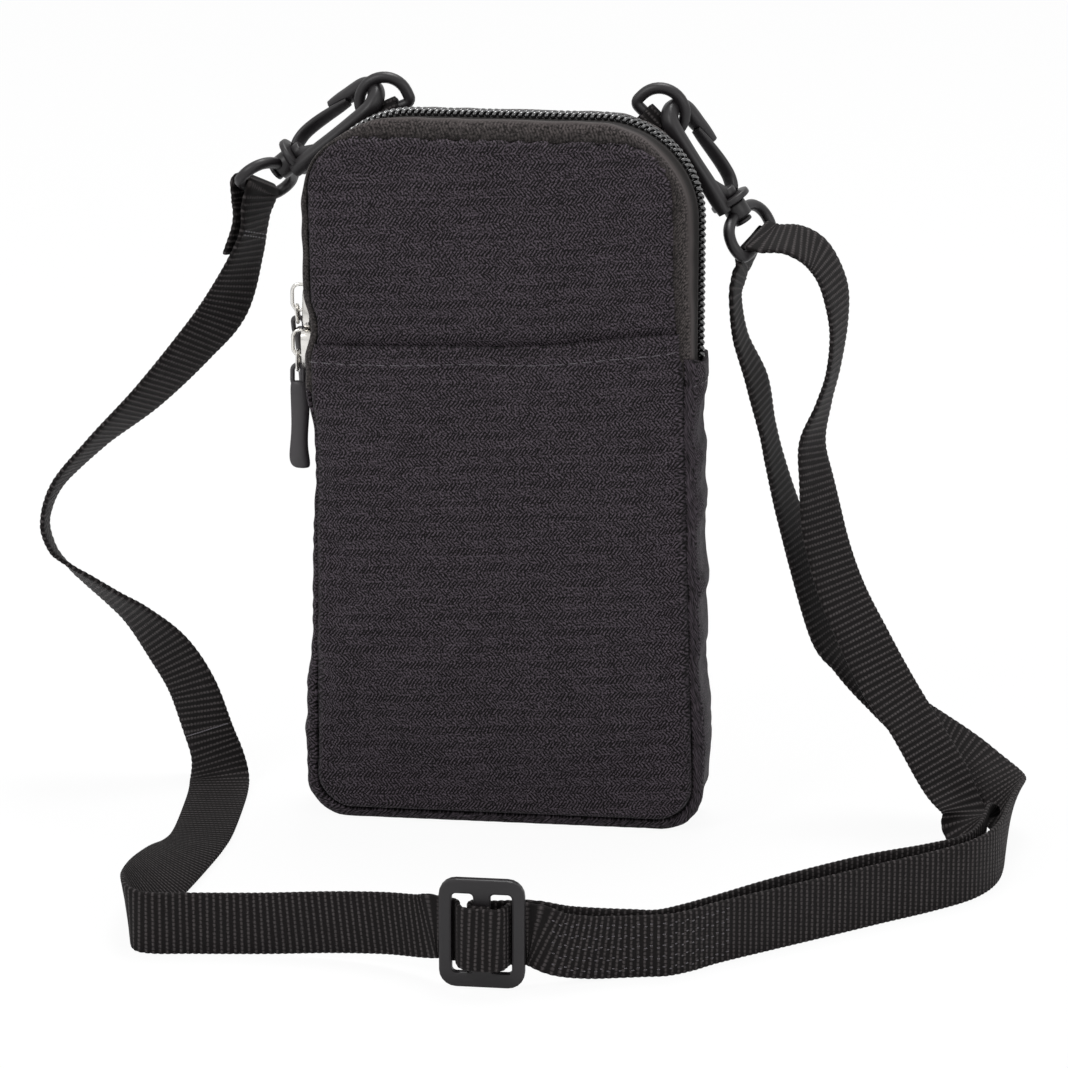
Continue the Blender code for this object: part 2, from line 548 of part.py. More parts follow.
LONG_RUN = [
    (-70.1, 15.7, 140.3, .30, .87, -.30), (-68.2, 16.2, 147.8, .25, .90, -.28),
    (-68.1, 17.3, 153.5, *BAR_LEFT),
    *near(EYE_LEFT, [(-1.95, 1.25, 1.1), (-.17, .99, 2.12), (1.42, .27, 1.79), (2.18, -.58, .45),
                     (1.66, -1.09, -1.15)], BAR_LEFT),
    (-65.3, 15.0, 151.7, .27, .89, -.33), (-66.1, 14.8, 147.0, .21, .91, -.27),
    (-68.2, 14.6, 139.9, .30, .87, -.30), (-74.2, 15, 125.8, .49, .68, -.46),
    (-82.5, 15, 115.1, .33, .72, -.55), (-94.5, 15, 101.9, .19, .81, -.49),
    (-107.9, 15, 89.5, .02, .91, -.36), (-117.9, 15, 78.4, -.11, .92, -.36),
    (-121.7, 15.5, 68.4, -.12, .94, -.29), (-120.1, 16, 60.5, -.13, .95, -.26),
    (-115, 16, 55.3, -.23, .92, -.33), (-111, 16, 52.4, -.30, .89, -.38),
    (-104.5, 16.5, 47.5, -.42, .83, -.42), (-98.5, 17, 42.7, -.55, .72, -.50),
    (-90.8, 17, 34.3, -.73, .46, -.57), (-85, 17, 24.8, -.82, .39, -.50),
    (-81, 17, 13.2, -.88, .35, -.43), (-78.6, 15.6, 6.8, -.93, .30, -.25),
    (-77.2, 11.6, 2.4, -.98, .19, 0), (-76.2, 6.0, 1.2, *ALONG_Y),
    (-75.3, -4.5, .8, *ALONG_Y), (-74.2, -25.9, .9, *ALONG_Y), (-74.4, -38.8, 1.9, -1, 0, .1),
    (-75.6, -54.9, 4.0, -.92, -.06, .38), (-76.8, -75.9, 6.6, -.73, -.20, .66),
    (-77.6, -92.5, 7.9, -.45, -.25, .86), (-77.8, -100.0, 8.0, -.11, -.15, .98),
    (-75.5, -104.6, 7.9, *UPRIGHT), (-71.0, -106.0, 7.8, *UPRIGHT), (-62.1, -105.0, 7.8, *UPRIGHT),
    (-45, -103.5, 8.0, *UPRIGHT), (-29.2, -104, 9.25, *UPRIGHT), (-15.9, -106.75, 10.75, *UPRIGHT),
    (-6.5, -111.2, 12.2, *UPRIGHT),
    *near(ADJUSTER_CENTRE, [(-11.5, 3.2, -.1), (-8.5, 2.15, -.2), (-6.2, 1.4, -.2), (-5.4, -1.0, -.3),
                            (-4.6, -2.7, -.3), (-2.8, -3.65, -.35), (0, -3.8, -.45), (2.8, -3.65, -.5),
                            (4.6, -2.7, -.6), (5.4, -1.0, -.6), (6.2, 1.4, -.6), (8.5, 2.1, -.7),
                            (12.0, 2.0, -.8)], UPRIGHT),
    (27, -114.0, 10.9, *UPRIGHT), (34, -110.6, 9.4, *UPRIGHT), (39.5, -107.8, 8.4, *UPRIGHT),
    (45.0, -106.3, 7.8, *UPRIGHT), (50.4, -105.0, 7.8, *UPRIGHT), (55.6, -101.4, 7.8, *UPRIGHT),
    (61.7, -95.4, 7.8, *UPRIGHT), (73.7, -85.6, 7.8, *UPRIGHT), (85.6, -76.0, 7.8, *UPRIGHT),
    (97.8, -66.0, 7.8, *UPRIGHT), (110.3, -56.0, 7.8, *UPRIGHT), (119.6, -46.5, 7.8, *UPRIGHT),
    (124.6, -35.4, 7.9, *UPRIGHT), (126.3, -20, 8.2, .1, .1, 1), (126.2, -9, 9.2, .3, .35, .87),
    (124.0, -1, 11.2, .45, .6, .62), (119.6, 4.5, 14.4, .5, .78, .4), (113.5, 7, 18.8, .47, .84, .31),
    (101.4, 8, 26.3, .51, .84, .27), (92.4, 10, 32.8, .46, .91, .09), (85.4, 11, 40.6, .52, .88, .06),
    (79.7, 12, 47.6, .51, .88, .04), (73.3, 14, 66.3, .49, .89, -.09), (68.7, 15, 78.4, .32, .95, -.17),
    (65.1, 15.5, 91, .21, .97, -.20), (63.2, 15.5, 99.4, .17, .98, -.18), (60.5, 15.5, 111.1, .25, .98, -.12),
    (56.2, 15.5, 122.4, .13, .98, -.20), (54.8, 15.5, 132.5, .07, .97, -.24),
    (55.6, 16.8, 137.9, .14, .97, -.16),
    *near(EYE_RIGHT, [(-2.9, 1.9, -4.2)], (.22, .95, .06)),
    *near(EYE_RIGHT, [(-2.5, .9, -.3), (-2.25, .5, .7), (-1.85, .3, 1.35)], BAR_RIGHT),
]

RETURN_RUN = [
    *near(EYE_RIGHT, [(-.74, -.22, 2.16), (.3, -.6, 2.3), (3.0, -1.5, 1.9)], BAR_RIGHT),
    (69.0, 14.3, 147.9, .2, .97, .21), (75.2, 15.5, 143.9, .27, .98, .18),
    (79.3, 15.5, 136.2, .34, .96, -.11),
    (80.6, 15.5, 126.4, .20, 1, -.08), (79.5, 15, 115.2, .12, .99, -.16), (77.2, 14, 106.4, .15, .98, -.23),
    (74.7, 13, 97, .34, .94, -.22), (75.9, 11, 87.7, .49, .88, -.20), (78.5, 9, 73.8, .67, .69, -.35),
    (83.1, 6, 60.4, .72, .74, -.05), (89.2, 3, 48.7, .83, .60, -.15), (95.1, 0, 38.5, .75, .67, .18),
    (101.9, -3, 29.3, .72, .73, .07), (110.4, -7, 16.5, .76, .69, .08), (115.8, -11, 9.1, .62, .83, -.07),
    (118.6, -17, 7.6, .5, .6, .6), (120.8, -25, 8.3, .1, .2, 1), (120.4, -34, 7.9, *UPRIGHT),
    (116.6, -44.6, 7.8, *UPRIGHT), (107.6, -54.0, 7.8, *UPRIGHT), (95.2, -64.0, 7.8, *UPRIGHT),
    (83.0, -74.0, 7.8, *UPRIGHT), (71.0, -83.5, 7.8, *UPRIGHT), (61.0, -91.5, 7.8, *UPRIGHT),
    (53.0, -98.6, 7.8, *UPRIGHT), (47.5, -102.8, 7.9, *UPRIGHT), (41.5, -104.8, 8.5, *UPRIGHT),
    (34, -107.8, 9.6, *UPRIGHT), (26.5, -110.8, 11.0, *UPRIGHT),
    *near(ADJUSTER_CENTRE, [(11.5, 4.1, -.8), (8.5, 3.9, -.7), (4.5, 2.8, -.6), (1.5, 2.05, -.5),
                            (-1.6, 2.05, -.4), (-2.7, 1.3, -.4), (-2.95, 0, -.35), (-2.7, -1.3, -.4),
                            (-1.6, -2.05, -.4), (1.8, -2.05, -.5)], UPRIGHT),
]


def strap(name, route):
    """A flat strap along a smooth curve through the route's points, turned to their width directions."""
    rows = [list(point) for point in route]
    rows = [[2 * a - b for a, b in zip(rows[0], rows[1])]] + rows
    rows.append([2 * a - b for a, b in zip(rows[-1], rows[-2])])
    line = []
    for i in range(1, len(rows) - 2):
        p0, p1, p2, p3 = rows[i - 1:i + 3]
        for k in range(ROUTE_STEPS + (i == len(rows) - 3)):
            t = k / ROUTE_STEPS
            line.append([0.5 * (2 * b + (c - a) * t + (2 * a - 5 * b + 4 * c - d) * t ** 2
                                + (3 * b - a - 3 * c + d) * t ** 3)
                         for a, b, c, d in zip(p0, p1, p2, p3)])
    centres = [Vector(point[:3]) * MM for point in line]
    rings = []
    for i, point in enumerate(centres):
        along = (centres[min(i + 1, len(centres) - 1)] - centres[max(i - 1, 0)]).normalized()
        wide = Vector(line[i][3:])
        wide = (wide - along * wide.dot(along)).normalized()
        out = along.cross(wide) * STRAP_THICKNESS / 2
        wide = wide * STRAP_WIDTH / 2
        rings.append([point + out + wide, point + out - wide, point - out - wide, point - out + wide])
    loft(name, "webbing", rings)


strap("strap_long_run", LONG_RUN)
strap("strap_return_run", RETURN_RUN)
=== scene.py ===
from collections import namedtuple
from contextlib import contextmanager
from math import copysign, cos, hypot, pi, radians, sin, sqrt

import bmesh
import bpy
from mathutils import Matrix, Vector


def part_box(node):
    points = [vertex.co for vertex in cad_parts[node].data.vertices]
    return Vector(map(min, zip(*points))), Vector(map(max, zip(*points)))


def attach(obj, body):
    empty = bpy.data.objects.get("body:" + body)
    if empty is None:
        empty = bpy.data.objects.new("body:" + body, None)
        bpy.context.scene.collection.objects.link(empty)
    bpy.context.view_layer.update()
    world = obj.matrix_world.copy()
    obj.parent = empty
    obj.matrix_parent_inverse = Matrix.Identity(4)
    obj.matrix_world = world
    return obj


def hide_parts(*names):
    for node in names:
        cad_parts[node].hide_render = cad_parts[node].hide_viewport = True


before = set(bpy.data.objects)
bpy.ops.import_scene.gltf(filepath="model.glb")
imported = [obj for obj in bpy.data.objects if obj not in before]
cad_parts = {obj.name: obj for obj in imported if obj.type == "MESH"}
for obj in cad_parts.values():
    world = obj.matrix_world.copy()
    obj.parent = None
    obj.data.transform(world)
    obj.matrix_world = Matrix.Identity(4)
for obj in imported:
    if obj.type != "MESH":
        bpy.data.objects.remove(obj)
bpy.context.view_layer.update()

# Camera: the photo is a product shot from a little above and to the right, through a long lens.
# It aims at the middle of the pouch, so that the strap on the table is in the frame too.
bpy.ops.object.select_all(action="DESELECT")
AIM = Vector((0.0063, 0.0, 0.0741))
AZIMUTH, ELEVATION, DISTANCE = radians(7), radians(17), 1.2
towards_camera = Vector((sin(AZIMUTH) * cos(ELEVATION), -cos(AZIMUTH) * cos(ELEVATION), sin(ELEVATION)))
bpy.ops.object.camera_add(location=AIM + towards_camera * DISTANCE)
camera = bpy.context.object
camera.rotation_euler = towards_camera.to_track_quat("Z", "Y").to_euler()
camera.data.sensor_width = 36.0
camera.data.lens = 161.8
camera.data.clip_start = 0.05
bpy.context.scene.camera = camera


# Strap: one black nylon webbing 15.5 mm wide and 1.3 mm thick, woven with raised ribs across it.
# It starts in a sewn loop at the left hook, lies on the table round the front, runs through the
# adjuster and round the right hook, and comes back to be sewn round the adjuster's middle bar.
def linear(text):
    """An sRGB hex colour as linear RGBA."""
    parts = [int(text[i:i + 2], 16) / 255 for i in (1, 3, 5)]
    return tuple(c / 12.92 if c <= 0.04045 else ((c + 0.055) / 1.055) ** 2.4 for c in parts) + (1.0,)


def start_material(name, **sockets):
    """A new material with its shader's own sockets set. Returns the material, its tree and shader."""
    made = bpy.data.materials.new(name)
    made.use_nodes = True
    shader = made.node_tree.nodes["Principled BSDF"]
    for socket, value in sockets.items():
        shader.inputs[socket.replace("_", " ")].default_value = value
    return made, made.node_tree, shader


def add(tree, kind, inputs=None, **settings):
    """Adds one node: settings are its own fields, and inputs its sockets' values or links. A node that
    is given as a value is linked by its first output."""
    made = tree.nodes.new("ShaderNode" + kind)
    for field, value in settings.items():
        setattr(made, field, value)
    for socket, value in (inputs or {}).items():
        if isinstance(value, bpy.types.Node):
            value = value.outputs[0]
        if isinstance(value, bpy.types.NodeSocket):
            tree.links.new(value, made.inputs[socket])
        else:
            made.inputs[socket].default_value = value
    return made


def maths(tree, operation, *values):
    """A node that does one sum on numbers and other nodes."""
    return add(tree, "Math", dict(enumerate(values)), operation=operation)


def product(tree, first, *others):
    """Several numbers and nodes, multiplied."""
    for other in others:
        first = maths(tree, "MULTIPLY", first, other)
    return first


def ranged(tree, value, start=0.0, end=1.0, low=0.0, high=1.0, smooth=False):
    """A value mapped from start and end to low and high, and held at both."""
    return add(tree, "MapRange", {"Value": value, "From Min": start, "From Max": end, "To Min": low,
                                  "To Max": high}, interpolation_type="SMOOTHSTEP" if smooth else "LINEAR")


def noise(tree, scale, detail, place=None):
    """Noise at a place, or else in the object's own space in metres."""
    place = place or add(tree, "TexCoord").outputs["Object"]
    return add(tree, "TexNoise", {"Vector": place, "Scale": scale, "Detail": detail})


def colour(tree, shader, tone, dark, light, full=1.0):
    """Colours a material from dark to light as a tone goes from 0 to full."""
    shade = add(tree, "ValToRGB", {"Fac": tone})
    shade.color_ramp.elements[0].color = linear(dark)
    shade.color_ramp.elements[1].color = linear(light)
    shade.color_ramp.elements[1].position = full
    tree.links.new(shade.outputs["Color"], shader.inputs["Base Color"])


def emboss(tree, shader, height, strength, depth):
    """Gives a material a fine relief, its depth in metres."""
    relief = add(tree, "Bump", {"Height": height, "Strength": strength, "Distance": depth})
    tree.links.new(relief.outputs["Normal"], shader.inputs["Normal"])


# Woven nylon webbing: dull black yarn. Ribs 1.6 mm apart cross it, each a thin row of floats about
# 1 mm long, so it glitters in rows of small grey beads, a painted highlight in its colour, and goes black
# between the ribs, painted shade.
RIB, FLOAT = 1.6, 1.05
webbing, tree, shader = start_material("woven_nylon_webbing", Roughness=0.7, Sheen_Weight=0.02,
                                       Sheen_Roughness=0.45, Specular_IOR_Level=0.08)
place = add(tree, "UVMap", uv_map="weave")
split = add(tree, "SeparateXYZ", {"Vector": place})
yarn = noise(tree, 1.9, 1.0, place)
row = maths(tree, "DIVIDE", maths(tree, "MULTIPLY_ADD", yarn, 0.45, split.outputs["Y"]), RIB)
rib = ranged(tree, maths(tree, "PINGPONG", row, 0.5), 0.2, 0.5, smooth=True)
stagger = maths(tree, "MULTIPLY", maths(tree, "FLOOR", row), 0.37)
thread = maths(tree, "MULTIPLY_ADD", split.outputs["X"], 1 / FLOAT, stagger)
bead = ranged(tree, maths(tree, "PINGPONG", thread, 0.5), 0.0, 0.3, 0.15, 1.0, smooth=True)
float_high = product(tree, rib, bead)
uneven = maths(tree, "ADD", yarn, noise(tree, 0.25, 2.0, place))
# Painted light: the floats' grey is a painted highlight and the black between the ribs is painted shade; the
# yarn noise is uneven tone.
colour(tree, shader, product(tree, float_high, uneven), "#141212", "#454141")
emboss(tree, shader, float_high, 0.7, 0.00025)


def square_to(way, axis):
    """A direction, turned square to an axis."""
    return (way - axis * way.dot(axis)).normalized()


def new_piece(name, data):
    """Puts a mesh or a curve into the scene, as the one selected object."""
    made = bpy.data.objects.new(name, data)
    bpy.context.collection.objects.link(made)
    bpy.ops.object.select_all(action="DESELECT")
    made.select_set(True)
    bpy.context.view_layer.objects.active = made
    return made


@contextmanager
def editing(select=None):
    """Edit mode on the active mesh, with all of it selected or deselected first."""
    bpy.ops.object.mode_set(mode="EDIT")
    if select:
        bpy.ops.mesh.select_all(action=select)
    yield
    bpy.ops.object.mode_set(mode="OBJECT")


def ribbon(name, stations, half, thick):
    """A woven strap through stations, each its centre and the direction of its width. Its section is flat
    with soft edges, it swells at each rib, and its weave map is in millimetres across and along."""
    shares = [(-1.0, 0.0), (-0.985, 0.6), (-0.93, 0.95), (-0.6, 1.0), (-0.2, 1.0), (0.2, 1.0), (0.6, 1.0),
              (0.93, 0.95), (0.985, 0.6), (1.0, 0.0)]
    section = shares + [(x, -y) for x, y in shares[-2:0:-1]]
    points, weave, run = [], [], 0.0
    for i, (centre, wide) in enumerate(stations):
        before, after = stations[max(i - 1, 0)][0], stations[min(i + 1, len(stations) - 1)][0]
        along = (after - before).normalized()
        wide = square_to(wide, along)
        out = along.cross(wide)
        if i:
            run += (centre - stations[i - 1][0]).length
        dip = 1 - abs(sin(pi * run * 1000 / RIB)) ** 0.7
        for x, y in section:
            points.append(centre + wide * x * (half - 0.00015 * dip) + out * y * (thick / 2 - 0.00018 * dip))
            weave.append((x * half * 1000, run * 1000))
    size = len(section)
    faces = [(r * size + c, r * size + (c + 1) % size, (r + 1) * size + (c + 1) % size, (r + 1) * size + c)
             for r in range(len(stations) - 1) for c in range(size)]
    faces += [tuple(range(size)), tuple(range(len(points) - 1, len(points) - size - 1, -1))]
    mesh = bpy.data.meshes.new(name)
    mesh.from_pydata(points, [], faces)
    laid = mesh.uv_layers.new(name="weave")
    for loop in mesh.loops:
        laid.data[loop.index].uv = weave[loop.vertex_index]
    made = new_piece(name, mesh)
    with editing("SELECT"):
        bpy.ops.mesh.normals_make_consistent(inside=False)
    bpy.ops.object.shade_smooth()
    return made


def paint(piece, finish):
    """Gives a piece one material."""
    piece.data.materials.clear()
    piece.data.materials.append(finish)


def fit_out(piece, body, finish, slot, *nodes):
    """Gives a piece its material and its body, and hides the CAD nodes that it stands for. The slot is not
    used.
    """
    paint(piece, finish)
    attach(piece, body)
    if nodes:
        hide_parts(*nodes)


def follow(route, spacing=0.00032):
    """Stations along a smooth curve through a route's points, each its centre and width direction."""
    rows = [list(point) for point in route]
    rows = [[2 * a - b for a, b in zip(rows[0], rows[1])]] + rows
    rows.append([2 * a - b for a, b in zip(rows[-1], rows[-2])])
    stations = []
    for i in range(1, len(rows) - 2):
        p0, p1, p2, p3 = rows[i - 1:i + 3]
        steps = max(2, round((Vector(p2[:3]) - Vector(p1[:3])).length / spacing))
        for k in range(steps + (i == len(rows) - 3)):
            t = k / steps
            at = [0.5 * (2 * b + (c - a) * t + (2 * a - 5 * b + 4 * c - d) * t ** 2
                         + (3 * b - a - 3 * c + d) * t ** 3) for a, b, c, d in zip(p0, p1, p2, p3)]
            stations.append((Vector(at[:3]), Vector(at[3:])))
    return stations


# Each route point is a place in mm and the direction of the strap's width there, upright if not given
LONG_ROUTE = [
    (-70.1, 15.7, 140.3, 0.3, 0.87, -0.3), (-68.2, 16.2, 147.8, 0.25, 0.9, -0.28),
    (-68.1, 17.3, 153.5, 0.31, 0.87, -0.38), (-67.85, 17.55, 157.9, 0.31, 0.87, -0.38),
    (-66.07, 17.29, 158.92, 0.31, 0.87, -0.38), (-64.48, 16.57, 158.59, 0.31, 0.87, -0.38),
    (-63.72, 15.72, 157.25, 0.31, 0.87, -0.38), (-64.24, 15.21, 155.65, 0.31, 0.87, -0.38),
    (-65.3, 15, 151.7, 0.27, 0.89, -0.33), (-66.1, 14.8, 147, 0.21, 0.91, -0.27),
    (-68.2, 14.6, 139.9, 0.3, 0.87, -0.3), (-74.2, 15, 125.8, 0.49, 0.68, -0.46),
    (-82.5, 15, 115.1, 0.33, 0.72, -0.55), (-94.5, 15, 101.9, 0.19, 0.81, -0.49),
    (-107.9, 15, 89.5, 0.02, 0.91, -0.36), (-117.9, 15, 78.4, -0.11, 0.92, -0.36),
    (-121.7, 15.5, 68.4, -0.12, 0.94, -0.29), (-120.1, 16, 60.5, -0.13, 0.95, -0.26),
    (-115, 16, 55.3, -0.23, 0.92, -0.33), (-111, 16, 52.4, -0.3, 0.89, -0.38),
    (-104.5, 16.5, 47.5, -0.42, 0.83, -0.42), (-98.5, 17, 42.7, -0.55, 0.72, -0.5),
    (-90.8, 17, 34.3, -0.73, 0.46, -0.57), (-85, 17, 24.8, -0.82, 0.39, -0.5),
    (-81, 17, 13.2, -0.88, 0.35, -0.43), (-78.6, 15.6, 6.8, -0.93, 0.3, -0.25),
    (-77.2, 11.6, 2.4, -0.98, 0.19, 0), (-76.2, 6, 1.2, -1, 0, 0), (-75.3, -4.5, 0.8, -1, 0, 0),
    (-74.2, -25.9, 0.9, -1, 0, 0), (-74.4, -38.8, 1.9, -1, 0, 0.1), (-75.6, -54.9, 4, -0.92, -0.06, 0.38),
    (-76.8, -75.9, 6.6, -0.73, -0.2, 0.66), (-77.6, -92.5, 7.9, -0.45, -0.25, 0.86),
    (-77.8, -100, 8, -0.11, -0.15, 0.98), (-75.5, -104.6, 7.9), (-71, -106, 7.8), (-62.1, -105, 7.8),
    (-45, -103.5, 8), (-29.2, -104, 9.25), (-15.9, -106.75, 10.75), (-6.5, -111.2, 12.2),
    (-2.9, -113.8, 13.5), (0.1, -114.85, 13.4), (2.4, -115.6, 13.4), (3.2, -118, 13.3), (4, -119.7, 13.3),
    (5.8, -120.65, 13.25), (8.6, -120.8, 13.15), (11.4, -120.65, 13.1), (13.2, -119.7, 13), (14, -118, 13),
    (14.8, -115.6, 13), (17.1, -114.9, 12.9), (20.6, -115, 12.8), (26, -114.2, 10.5), (32.5, -111.2, 8.8),
    (39.5, -107.8, 7.9), (45, -106.3, 7.8), (50.4, -105, 7.8), (55.6, -101.4, 7.8), (61.7, -95.4, 7.8),
    (73.7, -85.6, 7.8), (85.6, -76, 7.8), (97.8, -66, 7.8), (110.3, -56, 7.8), (119.6, -46.5, 7.8),
    (124.6, -35.4, 7.9), (126.3, -20, 8.2, 0.1, 0.1, 1), (126.2, -9, 9.2, 0.3, 0.35, 0.87),
    (124, -1, 11.2, 0.45, 0.6, 0.62), (119.6, 4.5, 14.4, 0.5, 0.78, 0.4),
    (113.5, 7, 18.8, 0.47, 0.84, 0.31), (101.4, 8, 26.3, 0.51, 0.84, 0.27),
    (92.4, 10, 32.8, 0.46, 0.91, 0.09), (85.4, 11, 40.6, 0.52, 0.88, 0.06),
    (79.7, 12, 47.6, 0.51, 0.88, 0.04), (73.3, 14, 66.3, 0.49, 0.89, -0.09),
    (68.7, 15, 78.4, 0.32, 0.95, -0.17), (65.1, 15.5, 91, 0.21, 0.97, -0.2),
    (63.2, 15.5, 99.4, 0.17, 0.98, -0.18), (60.5, 15.5, 111.1, 0.25, 0.98, -0.12),
    (56.2, 15.5, 122.4, 0.13, 0.98, -0.2), (54.8, 15.5, 132.5, 0.07, 0.97, -0.24),
    (55.6, 16.8, 137.9, 0.14, 0.97, -0.16), (57.3, 18.2, 142, 0.22, 0.95, 0.06),
    (57.7, 17.2, 145.9, 0.3, 0.93, 0.22), (57.95, 16.8, 146.9, 0.3, 0.93, 0.22),
    (58.35, 16.6, 147.55, 0.3, 0.93, 0.22),
]
RETURN_ROUTE = [
    (59.46, 16.08, 148.36, 0.3, 0.93, 0.22), (60.5, 15.7, 148.5, 0.3, 0.93, 0.22),
    (63.2, 14.8, 148.1, 0.3, 0.93, 0.22), (69, 14.3, 147.9, 0.2, 0.97, 0.21),
    (75.2, 15.5, 143.9, 0.27, 0.98, 0.18), (79.3, 15.5, 136.2, 0.34, 0.96, -0.11),
    (80.6, 15.5, 126.4, 0.2, 1, -0.08), (79.5, 15, 115.2, 0.12, 0.99, -0.16),
    (77.2, 14, 106.4, 0.15, 0.98, -0.23), (74.7, 13, 97, 0.34, 0.94, -0.22),
    (75.9, 11, 87.7, 0.49, 0.88, -0.2), (78.5, 9, 73.8, 0.67, 0.69, -0.35),
    (83.1, 6, 60.4, 0.72, 0.74, -0.05), (89.2, 3, 48.7, 0.83, 0.6, -0.15),
    (95.1, 0, 38.5, 0.75, 0.67, 0.18), (101.9, -3, 29.3, 0.72, 0.73, 0.07),
    (110.4, -7, 16.5, 0.76, 0.69, 0.08), (115.8, -11, 9.1, 0.62, 0.83, -0.07),
    (118.6, -17, 7.6, 0.5, 0.6, 0.6), (120.8, -25, 8.3, 0.1, 0.2, 1), (120.4, -34, 7.9),
    (116.6, -44.6, 7.9), (107.6, -54, 8.6), (95.2, -64, 9.4), (83, -74, 9.4), (71, -83.5, 8.8),
    (61, -91.5, 8), (53, -98.6, 7.8), (47.5, -102.8, 7.9), (41.5, -104.8, 8.5), (34, -107.8, 9.6),
    (26.5, -110.8, 11), (20.1, -112.9, 12.8), (17.1, -113.1, 12.9), (13.1, -114.2, 13),
    (10.1, -114.95, 13.1), (7, -114.95, 13.2), (5.9, -115.7, 13.2), (5.65, -117, 13.25),
    (5.9, -118.3, 13.2), (7, -119.05, 13.2), (10.4, -119.05, 13.1),
]

strap_stations = {}
for name, node, route, length, leaves_at in (
        ("strap_webbing_long", "strap_long_run", LONG_ROUTE, 0.78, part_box("swivel_eye_left")),
        ("strap_webbing_return", "strap_return_run", RETURN_ROUTE, 0.346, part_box("swivel_eye_right"))):
    strap_stations[name] = follow([(x / 1000, y / 1000, z / 1000, *(wide or (0, 0, 1)))
                                   for x, y, z, *wide in route])
    strap = ribbon(name, strap_stations[name], 0.00775, 0.0013)
    fit_out(strap, "pouch", webbing, "webbing", node)


# Gusset: the strip of twill that runs down one side, under the foot and up the other side. It is
# sewn to both faces with turned seams, and its lower sides bulge and pucker where the seams gather it.
Outline = namedtuple("Outline", "half flare low top low_radius top_radius")
CREST = Outline(0.0481, 0.0026, 0.0, 0.1814, 0.0105, 0.025)


def unit(value):
    """A value, held between 0 and 1."""
    return min(1.0, max(0.0, value))


def outline_at(depth):
    """The pouch's rounded outline at a depth: full along its middle and drawn in at both seams."""
    seam = (0.0460, 0.00165, 0.0036, 0.1770, 0.009, 0.014 if depth < 0 else 0.024)
    share = max(0.0, (abs(depth) - 0.008) / 0.003) ** 2
    return Outline(*(a + (b - a) * share for a, b in zip(CREST, seam)))


def side_of(shape, z):
    """Half width of an outline at a height, on its straight side."""
    return shape.half + shape.flare * max(0.0, 1 - z / 0.110)


def spread(start, end, count):
    """Evenly spread values from start to end, both counted in."""
    return [start + (end - start) * k / (count - 1) for k in range(count)]


def curve_through(pairs, at):
    """A smooth value between listed pairs of place and value."""
    for (a, low), (b, high) in zip(pairs, pairs[1:]):
        if at <= b:
            t = max(0.0, (at - a) / (b - a))
            return low + (high - low) * t * t * (3 - 2 * t)
    return pairs[-1][1]


# How far the left side is drawn in at each height in mm: all of it, and its front edge alone
WAIST = [(46, 0), (58, 0.9), (78, 0.9), (90, 1.3), (98, 1.3), (114, 0)]
FRONT_WAIST = [(8, 0.3), (20, 0.8), (40, 0.8), (60, 0)]


def lean(x, y, z):
    """A point of the pouch: its front face leans a little to the left towards the top, its right side
    is drawn in up there by the zipper, its left side has a shallow waist, and the lower slider presses
    its left edge in."""
    front = unit((-y - 0.005) / 0.006)
    waist = curve_through(WAIST, z * 1000) + front * curve_through(FRONT_WAIST, z * 1000)
    pressed = max(0.0, 1 - ((z - 0.1280) / 0.0075) ** 2) ** 1.5 * unit((-x - 0.034) / 0.009)
    drawn_in = unit((x - 0.022) / 0.022) * unit((z - 0.118) / 0.025)
    return Vector((x - (0.0032 * z / CREST.top + 0.0014 * drawn_in) * front
                   + 0.001 * waist * unit((-x - 0.020) / 0.026)
                   + 0.0015 * pressed * unit((-y - 0.003) / 0.003), y, z))


def apply_modifier(piece, kind, **settings):
    """Adds a modifier to a piece and applies it."""
    bpy.context.view_layer.objects.active = piece
    modifier = piece.modifiers.new(kind.lower(), kind)
    for field, value in settings.items():
        setattr(modifier, field, value)
    bpy.ops.object.modifier_apply(modifier=modifier.name)


def thicken(piece, thick):
    """Gives an open sheet its thickness, inwards."""
    apply_modifier(piece, "SOLIDIFY", thickness=thick, offset=-1)


def sheet_of(name, rows, weave, thick=0.0, centre=Vector((0, 0, 0.09))):
    """A sewn piece through rows of points, its face away from the centre, with its weave map in mm.
    A thickness is added inwards."""
    wide = len(rows[0])
    points = [point for line in rows for point in line]
    laid = [at for line in weave for at in line]
    faces = [(r * wide + c, r * wide + c + 1, (r + 1) * wide + c + 1, (r + 1) * wide + c)
             for r in range(len(rows) - 1) for c in range(wide - 1)]
    mesh = bpy.data.meshes.new(name)
    mesh.from_pydata(points, [], faces)
    mesh.update()
    if sum(face.normal.dot(face.center - centre) for face in mesh.polygons) < 0:
        mesh.flip_normals()
    layer = mesh.uv_layers.new(name="weave")
    for loop in mesh.loops:
        layer.data[loop.index].uv = laid[loop.vertex_index]
    made = new_piece(name, mesh)
    bpy.ops.object.shade_smooth()
    if thick:
        thicken(made, thick)
    return made


# Nylon dobby twill, a dull charcoal with an aubergine cast. Bands 2.1 mm high run across it, and the
# twill lines, 0.7 mm apart, turn round from band to band; each 3.1 mm a group of them ends.
# Single threads are lighter or darker, so it looks like dark dashes on a softer ground.
# Lines and groups are measured level, which is 1.28 times their width square to the lines.
BAND, TWILL_LINE, GROUP = 2.1, 0.9, 3.1
twill, tree, shader = start_material("nylon_dobby_twill", Roughness=0.7, Sheen_Weight=0.04,
                                     Sheen_Roughness=0.4, Specular_IOR_Level=0.1)
place = add(tree, "UVMap", uv_map="weave")
wavy = add(tree, "VectorMath", {0: noise(tree, 0.12, 2.0, place).outputs["Color"], 1: (1.6, 1.6, 0.0),
                                2: place}, operation="MULTIPLY_ADD")
split = add(tree, "SeparateXYZ", {"Vector": wavy})
band = maths(tree, "DIVIDE", split.outputs["Y"], BAND)
band_number = maths(tree, "FLOOR", band)
